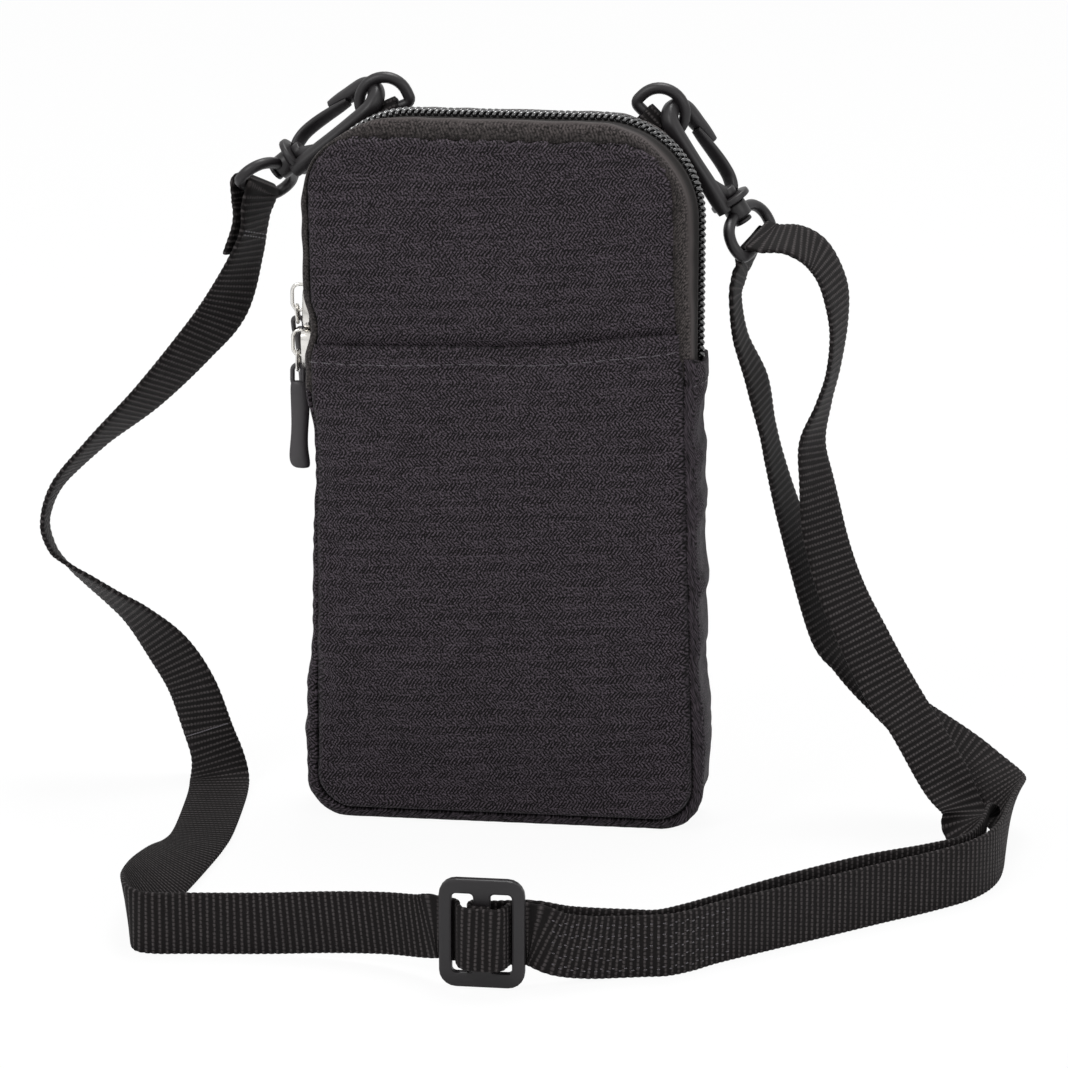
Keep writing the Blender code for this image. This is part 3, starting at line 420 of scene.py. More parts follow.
odd = maths(tree, "PINGPONG", band_number, 1.0)
leaning = product(tree, split.outputs["X"], maths(tree, "MULTIPLY_ADD", odd, -2.0, 1.0))
lines = maths(tree, "MULTIPLY_ADD", split.outputs["Y"], 0.8, leaning)
cycle = maths(tree, "PINGPONG", maths(tree, "DIVIDE", lines, TWILL_LINE), 0.5)
float_high = ranged(tree, cycle, 0.04, 0.36, smooth=True)
group = maths(tree, "DIVIDE", lines, GROUP)
group_end = ranged(tree, maths(tree, "PINGPONG", group, 0.5), 0.0, 0.14, 0.5, 1.0)
band_end = ranged(tree, maths(tree, "PINGPONG", band, 0.5), 0.0, 0.16, 0.45, 1.0)
cell = add(tree, "CombineXYZ", {"X": maths(tree, "FLOOR", group), "Y": band_number})
luck = add(tree, "TexWhiteNoise", {"Vector": cell}, noise_dimensions="2D")
dashes = product(tree, maths(tree, "SUBTRACT", 1.0, float_high), maths(tree, "MULTIPLY_ADD", odd, 0.4, 0.6),
                 band_end, group_end, ranged(tree, luck, 0.0, 1.0, 0.45, 1.15), 1.2)
ground = maths(tree, "MULTIPLY_ADD", ranged(tree, noise(tree, 2.1, 2.0, place), 0.38, 0.64), 0.95, 0.02)
shown = maths(tree, "SUBTRACT", ground, dashes)
shown.use_clamp = True
colour(tree, shader, shown, "#0b090a", "#554d54", 0.95)
emboss(tree, shader, float_high, 0.5, 0.00016)

# How far the sides stand out at each height, in mm, seen in the photo's outline
LEFT_BULGE = [(-5, 0), (2, 0.1), (11, 0.4), (17, 1.0), (22, 1.7), (27, 1.0), (36, 1.1), (40, -0.1),
              (44, -1.3), (48.5, -2.2), (56, -1.1), (63, -1.1), (72, -1.5), (82, -2.1), (90, -2.4),
              (99, -1.8), (113, 0)]
RIGHT_BULGE = [(-5, -0.4), (3, -0.6), (8, -0.7), (13, -0.2), (21, 1.0), (30, 0.9), (34, 0.4), (38, -0.7),
               (43, -1.2), (50, 0.3), (55, -0.4), (59, -0.6), (63, 0.9), (65, 0.9), (69.5, -0.6),
               (77, -0.7), (84, 0.7), (90, -0.2), (93, 0), (96.6, 0.8), (103, -1.0), (107, -0.5),
               (114, 1.2), (118, 1.0), (121, 0.6)]
LEFT_HEM, RIGHT_HEM = 0.1127, 0.1207


def bulge(x, z, depth, run):
    """How far the gusset stands out at a point: the photo's bulges, and small puckers at both seams."""
    middle = cos(pi * depth / 0.024)
    side = curve_through(LEFT_BULGE if x < 0 else RIGHT_BULGE, z * 1000) * min(1.0, abs(x) / 0.047) ** 6
    at_seam = (abs(depth) / 0.011) ** 2
    pucker = sin(run * 1150 + 1.7 * sin(run * 330)) * (0.1 * at_seam + 0.05)
    under_hem = (LEFT_HEM if x < 0 else RIGHT_HEM) - z
    hem = 0.35 if under_hem < 0.0042 else -0.25 * max(0.0, 1 - abs(under_hem - 0.0046) / 0.0006)
    return 0.001 * (side * max(0.0, middle) + pucker * unit(under_hem / 0.01) + hem * (abs(x) > 0.045))


def right_hem_at(depth):
    """Height of the gusset's right hem, which rises to the front."""
    return RIGHT_HEM + 0.0026 * unit((-depth - 0.003) / 0.0076)


def corner(x, z, radius, start, end, count):
    """Points round a corner's centre and their outward directions, angles in degrees."""
    turns = [(cos(radians(a)), sin(radians(a))) for a in spread(start, end, count)]
    return [((x + radius * c, z + radius * s), (c, s)) for c, s in turns]


def side_line(shape, way, heights):
    """Points at heights on an outline's left or right side, and outward directions."""
    return [((way * side_of(shape, z), z), (way, 0.0)) for z in heights]


def foot_path(shape, right_hem):
    """Points of an outline from the left hem, under the foot, to the right hem, and outward directions."""
    level, radius = shape.low + shape.low_radius, shape.low_radius
    centre = side_of(shape, level) - radius
    flat = [((x, shape.low), (0.0, -1.0)) for x in spread(-centre, centre, 70)[1:-1]]
    return (side_line(shape, -1.0, spread(LEFT_HEM, level, 100)[:-1])
            + corner(-centre, level, radius, 180, 270, 13) + flat + corner(centre, level, radius, 270, 360, 13)
            + side_line(shape, 1.0, spread(level, right_hem, 106)[1:]))


def strip(name, depths, path_at, stands_out, thick):
    """A strip of cloth round the pouch: at each depth it follows a path and stands out from it by what a
    function of place and run gives. Under the foot it is only drawn in."""
    rows, weave = [], []
    for depth in depths:
        path = path_at(depth)
        line, laid, run, before = [], [], 0.0, path[0][0]
        for (x, z), (out_x, out_z) in path:
            run += hypot(x - before[0], z - before[1])
            before = (x, z)
            far = stands_out(x, z, depth, run)
            if out_z < -0.5:
                far = min(far, 0.0)
            line.append(lean(x + out_x * far, depth, max(z + out_z * far, 0.0001)))
            laid.append((depth * 1000, run * 1000))
        rows.append(line)
        weave.append(laid)
    return sheet_of(name, rows, weave, thick)


gusset = strip("gusset_twill", spread(-0.0106, 0.0106, 27),
               lambda depth: foot_path(outline_at(depth), right_hem_at(depth)), bulge, 0.0011)
fit_out(gusset, "pouch", twill, "twill_fabric", "gusset")


# Front panel: one piece of twill over a thin foam pad, turned in and sewn round its edge. It is a
# little fuller than its outline, so it crowns over the foam and takes shallow creases of its own.
def half_at(shape, z):
    """Half width of a rounded outline at a height."""
    foot, crown = shape.low + shape.low_radius, shape.top - shape.top_radius
    if foot <= z <= crown:
        return side_of(shape, z)
    half, radius, past = ((side_of(shape, foot), shape.low_radius, foot - z) if z < foot
                          else (shape.half, shape.top_radius, z - crown))
    return half - radius + sqrt(max(0.0, radius ** 2 - past ** 2))


def inside(shape, x, z):
    """Distance of a point from the outline's edge, inwards."""
    foot, crown, across = shape.low + shape.low_radius, shape.top - shape.top_radius, abs(x)
    foot_centre, crown_centre = side_of(shape, foot) - shape.low_radius, shape.half - shape.top_radius
    if z < foot and across > foot_centre:
        return shape.low_radius - hypot(across - foot_centre, z - foot)
    if z > crown and across > crown_centre:
        return shape.top_radius - hypot(across - crown_centre, z - crown)
    return min(side_of(shape, z) - across, shape.top - z, z - shape.low)


def levels(shape, top=None):
    """Heights of a panel's rows, close together round the corners."""
    foot, crown = shape.low + shape.low_radius, shape.top - shape.top_radius
    low = [foot - shape.low_radius * cos(radians(a)) for a in spread(0, 90, 14)]
    if top is not None:
        return low + spread(foot, top, 66)[1:]
    high = [crown + shape.top_radius * sin(radians(a)) for a in spread(0, 90, 16)]
    return low + spread(foot, crown, 88)[1:-1] + high


def rise(edge, crown):
    """How far a padded face stands out at a distance from its seam: a turned edge, then a slow crown."""
    turned_edge = 0.0023 * sqrt(max(0.0, 1 - (1 - unit(edge / 0.0016)) ** 2))
    return turned_edge + crown * (1 - 2.718 ** (-max(0.0, edge - 0.001) / 0.011))


def cut_askew(x, z):
    """Weave place in mm on the front's cloth, which is cut a little askew."""
    return (x + 0.05 * z) * 1000, (z - 0.05 * x) * 1000


def settle(piece, held, too_big, outward, pressure=0.6, most=0.0014):
    """Lets a sewn sheet crease by simulation: its held points stay, and its cloth is a little too big.
    It can't sink into the padding behind it, and no point moves further than most."""
    group = piece.vertex_groups.new(name="held")
    for index, weight in held.items():
        group.add([index], weight, "REPLACE")
    before = [point.co.copy() for point in piece.data.vertices]
    cloth = piece.modifiers.new("cloth", "CLOTH")
    for field, value in dict(quality=5, mass=0.15, tension_stiffness=12, compression_stiffness=12,
                             shear_stiffness=6, bending_stiffness=0.12, air_damping=4,
                             vertex_group_mass="held", shrink_min=-too_big, shrink_max=-too_big,
                             use_pressure=True, uniform_pressure_force=pressure).items():
        setattr(cloth.settings, field, value)
    cloth.settings.effector_weights.gravity = 0.0
    for frame_number in range(1, 19):
        bpy.context.scene.frame_set(frame_number)
    bpy.context.view_layer.objects.active = piece
    bpy.ops.object.modifier_apply(modifier=cloth.name)
    bpy.context.scene.frame_set(1)
    for point, start in zip(piece.data.vertices, before):
        moved = point.co - start
        if moved.length > most:
            moved *= most / moved.length
        moved.y = outward * max(-0.00015, moved.y * outward)
        point.co = start + moved


# The pocket's top edge, as places across and heights, and how near the seam the cloth is held
HEM = [(-0.0470, 0.1245), (-0.0005, 0.1256), (0.0470, 0.1297)]
SEWN = 0.0012
front_seam = outline_at(-0.011)


def face_sheet(name, shape, heights, spot, columns):
    """A face's sheet and how firmly each of its points is held. A function of place gives each point, its
    weave place in mm and its hold."""
    rows, weave, held = [], [], {}
    for z in heights:
        half = half_at(shape, z)
        spots = [spot(half * share, z) for share in spread(-1, 1, columns)]
        for k, (at, laid, hold) in enumerate(spots):
            held[len(rows) * columns + k] = hold
        rows.append([at for at, laid, hold in spots])
        weave.append([laid for at, laid, hold in spots])
    return sheet_of(name, rows, weave), held


def front_spot(x, z):
    """A spot of the front panel: gathered along its seam, and flatter behind the pocket."""
    edge = inside(front_seam, x, z)
    along_seam = abs(x) + z if z < 0.16 else abs(x) - z
    gathers = sin(along_seam * 900 + 2.1 * sin(along_seam * 260) + (1 if x < 0 else 0))
    edge -= 0.0007 * max(0.0, gathers) * (z > 0.13)
    under = curve_through(HEM, x) - z
    stands = rise(edge, 0.0014)
    behind = min(0.0012 * unit((under + 0.0025) / 0.002), max(0.0, stands - 0.0017) * 0.9)
    fold = 0.0003 * gathers * 2.718 ** (-max(0.0, edge) / 0.007) * unit(edge / 0.001)
    return (lean(x, -0.0099 - stands + behind - fold, z), cut_askew(x, z),
            1.0 if edge < SEWN or under > -0.0015 else 0.0)


front_panel, held = face_sheet("front_panel_twill", front_seam, levels(front_seam), front_spot, columns=61)
settle(front_panel, held, 0.009, -1)
thicken(front_panel, 0.0008)
fit_out(front_panel, "pouch", twill, "twill_fabric", "front_panel")


# Back panel: the same twill, plain, with the rounder top corners of the pouch's back.
# It is turned in and sewn to the gusset and to the back zipper tape.
back_seam = outline_at(0.011)


def back_spot(x, z):
    """A spot of the back panel."""
    edge = inside(back_seam, x, z)
    return lean(x, 0.0099 + rise(edge, 0.0011), z), (x * 1000, z * 1000), 1.0 if edge < SEWN else 0.0


back_panel, held = face_sheet("back_panel_twill", back_seam, levels(back_seam), back_spot, columns=61)
settle(back_panel, held, 0.010, 1, 0.3)
thicken(back_panel, 0.0008)
fit_out(back_panel, "pouch", twill, "twill_fabric", "back_panel")


# Front slip pocket: a second layer of the twill over the lower two thirds, sewn into the seam all
# round. Its top edge is folded over twice and stitched 4 mm down, which makes a thin raised band.
LEFT_TOP = HEM[0][1]


def pocket_spot(x, level):
    """A spot of the pocket: its levels spread out to the right, where its hem is higher."""
    top_here, foot = curve_through(HEM, x * 1.004), front_seam.low + front_seam.low_radius
    z = level if level <= foot else foot + (level - foot) * (top_here - foot) / (LEFT_TOP - foot)
    edge, down = inside(front_seam, x, z), top_here - z
    band = 0.0004 if down < 0.0040 else -0.0003 * max(0.0, 1 - abs(down - 0.0044) / 0.0007)
    folded = -0.0009 * (1 - sqrt(max(0.0, 1 - unit(1 - down / 0.0009) ** 2)))
    y = -0.0102 - rise(edge, 0.0016) - (band + folded) * min(1.0, edge / 0.002)
    return (lean(x * 1.004, y, z), cut_askew(x * 1.004, z),
            1.0 if edge < SEWN else 0.6 if down < 0.001 else 0.0)


heights = levels(front_seam, 0.1233) + [0.1238, 0.12415, 0.1244, LEFT_TOP]
front_pocket, held = face_sheet("front_pocket_twill", front_seam, heights, pocket_spot, columns=71)
settle(front_pocket, held, 0.009, -1)
thicken(front_pocket, 0.0009)
fit_out(front_pocket, "pouch", twill, "twill_fabric", "front_pocket")


# Foam pads and lining: 2 mm of closed foam behind each face and a thin woven lining inside it.
# They are shut in by the panels, the gusset and the zipper, and give the faces their crown. The foam
# is cut 1.6 mm short of the seams at the sides and 0.9 mm at the ends, so that none of it shows.
def copy_of(node, name):
    """A merged copy of a CAD node's mesh, to be worked on."""
    new_piece(name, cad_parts[node].data.copy())
    with editing("SELECT"):
        bpy.ops.mesh.remove_doubles(threshold=0.00001)
        bpy.ops.mesh.dissolve_limited(angle_limit=radians(1))
    return bpy.context.object


def soften(piece, width, steps, angle=40):
    """Rounds a piece's sharp edges, and shades it smooth up to them."""
    apply_modifier(piece, "BEVEL", width=width, segments=steps, limit_method="ANGLE",
                   angle_limit=radians(angle))
    bpy.ops.object.select_all(action="DESELECT")
    piece.select_set(True)
    bpy.ops.object.shade_smooth_by_angle(angle=radians(50))


# Closed polyethylene foam: pale grey and matt, with cells of about 0.4 mm.
foam, tree, shader = start_material("closed_cell_polyethylene_foam", Roughness=0.9)
cells = add(tree, "TexVoronoi", {"Vector": add(tree, "TexCoord").outputs["Object"], "Scale": 2500.0})
colour(tree, shader, cells, "#8c8c8f", "#a6a6a8")
emboss(tree, shader, cells, 0.3, 0.0001)

# Polyester taffeta lining: thin, plain woven, dark grey with a slight silky gloss. Its real threads,
# 0.15 mm, are drawn 0.5 mm apart so that they show.
lining_cloth, tree, shader = start_material("polyester_taffeta_lining", Roughness=0.5, Sheen_Weight=0.2)
place = add(tree, "TexCoord").outputs["Object"]
warp, weft = (add(tree, "TexWave", {"Vector": place, "Scale": 630.0}, bands_direction=way).outputs["Fac"]
              for way in "XZ")
plain = product(tree, warp, weft)
colour(tree, shader, plain, "#262629", "#3c3c42")
emboss(tree, shader, plain, 0.3, 0.0001)

for side in ("front", "back"):
    pad = copy_of("foam_" + side, "foam_pad_" + side)
    for point in pad.data.vertices:
        point.co.x *= 0.965
        point.co.z = 0.0905 + 0.99 * (point.co.z - 0.0905)
    soften(pad, 0.0006, 3)
    fit_out(pad, "pouch", foam, "foam", "foam_" + side)
    lining = copy_of("lining_" + side, "lining_cloth_" + side)
    soften(lining, 0.0002, 2)
    fit_out(lining, "pouch", lining_cloth, "lining_fabric", "lining_" + side)


# Zipper tapes: two woven polyester tapes, sewn between the panels and the coils. Each lies flat and
# satiny beside the coil, then rolls up into a soft ridge of small v-weave along the panel's seam.
LEFT_END, RIGHT_END = 0.1130, 0.1210


def top_path(shape, steps=1.0, tuck=0.0):
    """Points of an outline from the left chain end, over the top, to the right end, and directions.
    Tuck lets both ends run on under the gusset's hems."""
    crown, radius, turn = shape.top - shape.top_radius, shape.top_radius, round(32 * steps)
    centre = shape.half - radius
    over = [((x, shape.top), (0.0, 1.0)) for x in spread(-centre, centre, round(46 * steps))[1:-1]]
    return (side_line(shape, -1.0, spread(LEFT_END - tuck, crown, round(46 * steps))[:-1])
            + corner(-centre, crown, radius, 180, 90, turn) + over + corner(centre, crown, radius, 90, 0, turn)
            + side_line(shape, 1.0, spread(crown, RIGHT_END - tuck, round(38 * steps))[1:]))


# Woven polyester zipper tape: dark brown-grey, satin beside the coil and a 0.9 mm v-weave beyond it; painted
# shade darkens it beside the coil and towards the panel's seam.
# The threads are 0.3 mm, drawn a little coarser so that they show.
VEE, THREAD = 0.9, 0.42
tape_cloth, tree, shader = start_material("woven_polyester_zipper_tape", Roughness=0.66, Sheen_Weight=0.03,
                                          Specular_IOR_Level=0.12)
split = add(tree, "SeparateXYZ", {"Vector": add(tree, "UVMap", uv_map="weave")})
vee = maths(tree, "PINGPONG", split.outputs["X"], VEE)
line = maths(tree, "MULTIPLY_ADD", vee, 0.9, split.outputs["Y"])
vee_high = ranged(tree, maths(tree, "PINGPONG", line, THREAD), 0.0, THREAD, smooth=True)
from_middle = maths(tree, "ABSOLUTE", split.outputs["X"])
beyond = ranged(tree, from_middle, 8.9, 9.7, 0.0, 0.85, smooth=True)
lint = ranged(tree, noise(tree, 1900.0, 2.0), 0.36, 0.64, 0.05, 1.25)
knots = product(tree, lint, maths(tree, "MULTIPLY_ADD", vee_high, 0.55, 0.45))
uneven = ranged(tree, beyond, 0.0, 0.85, 0.56, knots)
# Painted shade: the tape goes nearly black beside the coil, where the coil shades it.
painted_coil_shade = ranged(tree, from_middle, 6.4, 8.2, 0.1, 1.0, smooth=True)
# Painted shade: darker towards the panel's seam, in the seam's groove.
painted_seam_shade = ranged(tree, from_middle, 9.3, 11.0, 1.0, 0.4)
colour(tree, shader, product(tree, uneven, painted_coil_shade, painted_seam_shade), "#0e0c0b", "#524c4b", 0.85)
sunk = product(tree, maths(tree, "SUBTRACT", 1.0, vee_high), beyond)
emboss(tree, shader, maths(tree, "SUBTRACT", 1.0, sunk), 0.5, 0.00015)

# Height of each tape over the pouch's crest, in mm, at each distance from the middle of the chain
TAPE_HEIGHTS = {
    "front": [(0, -0.95), (3.4, -1.0), (5.4, -0.85), (8.0, -0.3), (9.2, 0.2), (10.3, 0.15), (11.1, -0.35)],
    "back": [(0, -0.95), (3.4, -1.0), (8.0, -1.4), (9.2, -0.7), (10.3, -0.2), (11.1, -0.35)]}
TUCK = 0.0025


def tape_height(x, z, depth, run):
    """How far a tape stands out at a point: its profile, small ripples, and its edge down under a hem."""
    out = abs(depth)
    ripple = 0.12 * sin(run * 520 + 2 * sin(run * 140)) * min(1.0, out / 0.009) ** 2
    profile = curve_through(TAPE_HEIGHTS["front" if depth < 0 else "back"], out * 1000)
    under_hem = max(0.0, (LEFT_HEM if x < 0 else right_hem_at(depth)) - z)
    return 0.001 * (profile + ripple) - min(0.001, under_hem) * unit((out - 0.007) / 0.002)


for side, name in ((-1, "front"), (1, "back")):
    tape = strip("zipper_tape_cloth_" + name, spread(0.0004 * side, 0.0111 * side, 30),
                 lambda depth: top_path(outline_at(depth), tuck=TUCK), tape_height, 0.0006)
    fit_out(tape, "pouch", tape_cloth, "tape_fabric", "zipper_tape_" + name)


# Zipper coils: nylon monofilament 0.7 mm thick, wound and heat set, 1.6 mm from turn to turn.
# One turn is modelled and copied along each tape, the two rows half a turn apart so that they mesh.
def roughen(tree, shader, tone, low, high):
    """Varies a material's roughness with a tone, from low to high."""
    tree.links.new(ranged(tree, tone, 0.0, 1.0, low, high).outputs[0], shader.inputs["Roughness"])


# Nylon monofilament: black, hard and smooth, so each turn carries a bright slanting highlight.
coil_nylon, tree, shader = start_material("heat_set_nylon_monofilament", Roughness=0.24, IOR=1.53,
                                          Specular_IOR_Level=0.8, Coat_Weight=0.6, Coat_Roughness=0.15)
rub = noise(tree, 900.0, 2.0)
colour(tree, shader, rub, "#0e0e0f", "#1d1c1d")
roughen(tree, shader, rub, 0.2, 0.32)

bpy.ops.object.select_all(action="DESELECT")
bpy.ops.mesh.primitive_torus_add(major_radius=0.00100, minor_radius=0.00048, major_segments=12,
                                 minor_segments=6)
turn = bpy.context.object
with editing("SELECT"):
    bpy.ops.transform.resize(value=(1.0, 0.78, 1.0))
    bpy.ops.mesh.select_all(action="DESELECT")
for point in turn.data.vertices:
    if point.co.y < 0:
        point.co.x *= 1 + 0.45 * point.co.y / 0.00115
    point.select = point.co.x < -0.0008
with editing():
    bpy.ops.transform.resize(value=(1.05, 1.1, 1.2))


def copies(name, model, places):
    """One piece made of a model's mesh, copied to each place, given as a 4 x 4 matrix."""
    mesh = bmesh.new()
    for matrix in places:
        first = len(mesh.verts)
        mesh.from_mesh(model.data)
        mesh.verts.ensure_lookup_table()
        bmesh.ops.transform(mesh, matrix=matrix, verts=mesh.verts[first:])
    bmesh.ops.recalc_face_normals(mesh, faces=mesh.faces)
    data = bpy.data.meshes.new(name)
    mesh.to_mesh(data)
    mesh.free()
    made = new_piece(name, data)
    bpy.ops.object.shade_smooth()
    return made


PITCH = 0.0016
crest = top_path(outline_at(0.0), 3.0)
for side, name, sunk, due in ((-1, "front", 0.00045, 0.5 * PITCH), (1, "back", 0.00075, PITCH)):
    places, run, across = [], 0.0, Vector((0, side, 0))
    for ((x0, z0), out0), ((x1, z1), out1) in zip(crest, crest[1:]):
        here, there = Vector((x0, 0, z0)), Vector((x1, 0, z1))
        out_here, out_there = Vector((out0[0], 0, out0[1])), Vector((out1[0], 0, out1[1]))
        step, along = (there - here).length, (there - here).normalized()
        while step and run + step >= due:
            t = (due - run) / step
            out = out_here.lerp(out_there, t).normalized()
            places.append(Matrix((across + along * side * 0.62, out, along)).transposed().to_4x4())
            places[-1].translation = here.lerp(there, t) + across * 0.00160 - out * sunk
            due += PITCH
        run += step
    chain = copies("zipper_coil_turns_" + name, turn, places)
    fit_out(chain, "pouch", coil_nylon, "coil_nylon", "zipper_coil_" + name)
bpy.data.objects.remove(turn)


# Sliders: two die-cast zinc sliders, nickel plated, head to head on the left side. Each has a domed
# outer plate with a wire bridge, a thin post between the coils and a plain inner plate.
# Nickel plate over polished zinc: bright, slightly warm grey, with faint handling marks.
nickel, tree, shader = start_material("nickel_plated_zinc", Metallic=1.0, Roughness=0.16)
marks = noise(tree, 700.0, 4.0)
colour(tree, shader, marks, "#c4c1bc", "#e4e2de")
roughen(tree, shader, marks, 0.1, 0.26)
emboss(tree, shader, marks, 0.08, 0.0001)


def block(low, high, round_over, edge):
    """A cast block between two corners, its outline rounded as seen along X, with eased edges."""
    bpy.ops.object.select_all(action="DESELECT")
    low, high = Vector(low), Vector(high)
    bpy.ops.mesh.primitive_cube_add(size=1, location=(low + high) / 2, scale=high - low)
    made = bpy.context.object
    bpy.ops.object.transform_apply(location=True, rotation=True, scale=True)
    with editing("DESELECT"):
        pass
    # The four edges along X are rounded over, then the outer face is raised a little inside them
    for line in made.data.edges:
        ends = [made.data.vertices[i].co for i in line.vertices]
        line.select = abs(ends[0].x - ends[1].x) > 1e-6
    with editing():
        bpy.ops.mesh.select_mode(type="EDGE")
        bpy.ops.mesh.bevel(offset=round_over, segments=5)
        bpy.ops.mesh.select_mode(type="FACE")
        bpy.ops.mesh.select_all(action="DESELECT")
    for face in made.data.polygons:
        face.select = face.normal.x < -0.99
    with editing():
        bpy.ops.mesh.inset(thickness=round_over * 0.45)
        bpy.ops.transform.translate(value=(-edge, 0, 0))
    soften(made, edge * 0.7, 2, 30)
    return made


def spline_through(curve, points, closed=False):
    """Adds a spline through points to a curve."""
    line = curve.splines.new("POLY")
    line.points.add(len(points) - 1)
    for point, at in zip(line.points, points):
        point.co = (*at, 1.0)
    line.use_cyclic_u = closed
    return line


def wire(name, points, radius, closed=False):
    """A bent wire through points, as a mesh."""
    curve = bpy.data.curves.new(name, "CURVE")
    curve.dimensions = "3D"
    curve.bevel_depth = radius
    curve.bevel_resolution = 3
    curve.use_fill_caps = True
    spline_through(curve, points, closed).use_smooth = True
    new_piece(name, curve)
    bpy.ops.object.convert(target="MESH")
    return bpy.context.object


def joined(name, *parts):
    """Several meshes as one piece."""
    bpy.ops.object.select_all(action="DESELECT")
    for part in parts:
        part.select_set(True)
    bpy.context.view_layer.objects.active = parts[0]
    bpy.ops.object.join()
    made = bpy.context.object
    made.name = name
    return made


def arc_points(middle, radius_x, radius_z, start, end, count):
    """Points of an elliptic arc in the XZ plane at y = 0, angles in degrees."""
    return [Vector((middle[0] + radius_x * cos(radians(a)), 0, middle[1] + radius_z * sin(radians(a))))
            for a in spread(start, end, count)]


for name, foot, bridge_middle in (("lower", 0.11505, 0.12165), ("upper", 0.12615, 0.13335)):
    head = foot + 0.0108
    outer = block((-0.0507, -0.0045, foot), (-0.0489, 0.0045, head), 0.0026, 0.0004)
    inner = block((-0.0464, -0.0035, foot), (-0.0446, 0.0035, head), 0.0020, 0.0002)
    post = block((-0.0490, -0.0003, foot + 0.002), (-0.0463, 0.0003, head - 0.002), 0.0002, 0.0001)
    loop = ([Vector((-0.0501, 0, bridge_middle + 0.00325))]
            + arc_points((-0.0524, bridge_middle + 0.0014), 0.00165, 0.00185, 90, 180, 8)
            + arc_points((-0.0524, bridge_middle - 0.0014), 0.00165, 0.00185, 180, 270, 8)
            + [Vector((-0.0501, 0, bridge_middle - 0.00325))])
    slider = joined("slider_body_" + name, outer, inner, post, wire("bridge", loop, 0.00045))
    for point in slider.data.vertices:
        from_mouth = head - point.co.z if name == "lower" else point.co.z - foot
        point.co.y *= 1 - 0.42 * unit((from_mouth - 0.0052) / 0.0056) ** 0.8
    fit_out(slider, name + "_slider", nickel, "nickel", "slider_" + name)
    paint(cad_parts["pull_link_" + name], nickel)


# Pullers: soft black PVC grips, moulded on a cord loop that hangs in the wire link. Each is a flat
# oval bar, pinched a little in the middle, that curves and swells towards its rounded lower end.
# Soft PVC: very dark grey with a broad, dull highlight and the mould's fine matt texture.
soft_pvc, tree, shader = start_material("moulded_soft_pvc", Roughness=0.5, IOR=1.52)
colour(tree, shader, noise(tree, 160.0, 2.0), "#232123", "#353134")
emboss(tree, shader, noise(tree, 2200.0, 2.0), 0.15, 0.0001)

# Below the hinge, sideways, half width and half thickness of each section, in mm
GRIP = [(6.9, 0.3, 2.1, 1.3), (8.0, 0.5, 2.5, 1.5), (13.5, 0.7, 2.45, 1.5), (18.5, 0.55, 2.15, 1.4),
        (23, 0.3, 2.3, 1.45), (26, 0.45, 2.7, 1.6), (27.7, 0.8, 2.5, 1.5), (28.5, 1.2, 1.7, 1.05)]
for name, hinge_z, tilt, edge_on in (("lower", 0.1184, radians(-6), False),
                                     ("upper", 0.1301, radians(24), True)):
    bpy.ops.object.select_all(action="DESELECT")
    bpy.ops.mesh.primitive_circle_add(vertices=16, radius=0.001, fill_type="NGON", location=(0, 0, -0.0063))
    grip = bpy.context.object
    bpy.ops.object.transform_apply(location=True)
    with editing("SELECT"):
        bpy.ops.transform.resize(value=(1.5, 1.0, 1.0))
        at, wide, thick, aside = 6.3, 1.5, 1.0, 0.0
        for drop, offset, half_wide, half_thick in GRIP:
            bpy.ops.mesh.extrude_region_move(TRANSFORM_OT_translate={
                "value": ((offset - aside) / 1000, 0, (at - drop) / 1000)})
            bpy.ops.transform.resize(value=(half_wide / wide, half_thick / thick, 1.0))
            at, wide, thick, aside = drop, half_wide, half_thick, offset
        bpy.ops.mesh.select_all(action="SELECT")
        bpy.ops.mesh.normals_make_consistent(inside=False)
    if edge_on:
        grip.data.transform(Matrix.Rotation(radians(90), 4, "Z"))
    apply_modifier(grip, "SUBSURF", levels=2, render_levels=2)
    bpy.ops.object.shade_smooth()
    cord_loop = (arc_points((0, -0.0037), 0.00135, 0.00135, 0, 180, 10)
                 + arc_points((0, -0.0062), 0.00135, 0.00135, 180, 360, 10))
    grip = joined("puller_grip_" + name, grip, wire("loop", cord_loop, 0.0006, True))
    grip.data.transform(Matrix.Translation((-0.05285, 0, hinge_z)) @ Matrix.Rotation(tilt, 4, "X"))
    fit_out(grip, name + "_pull", soft_pvc, "puller_rubber", "puller_" + name)


# Strap adjuster: a tri-glide, injection moulded in black acetal. The strap weaves over its middle bar.
# Moulded acetal: charcoal black, satin, with the spark-eroded mould's fine grain and duller patches.
acetal, tree, shader = start_material("injection_moulded_acetal", Roughness=0.36, IOR=1.48,
                                      Specular_IOR_Level=0.42)
wear = noise(tree, 110.0, 3.0)
colour(tree, shader, wear, "#100e10", "#1f1c1e")
roughen(tree, shader, wear, 0.34, 0.55)
emboss(tree, shader, noise(tree, 1800.0, 3.0), 0.12, 0.0001)
paint(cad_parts["strap_adjuster"], acetal)


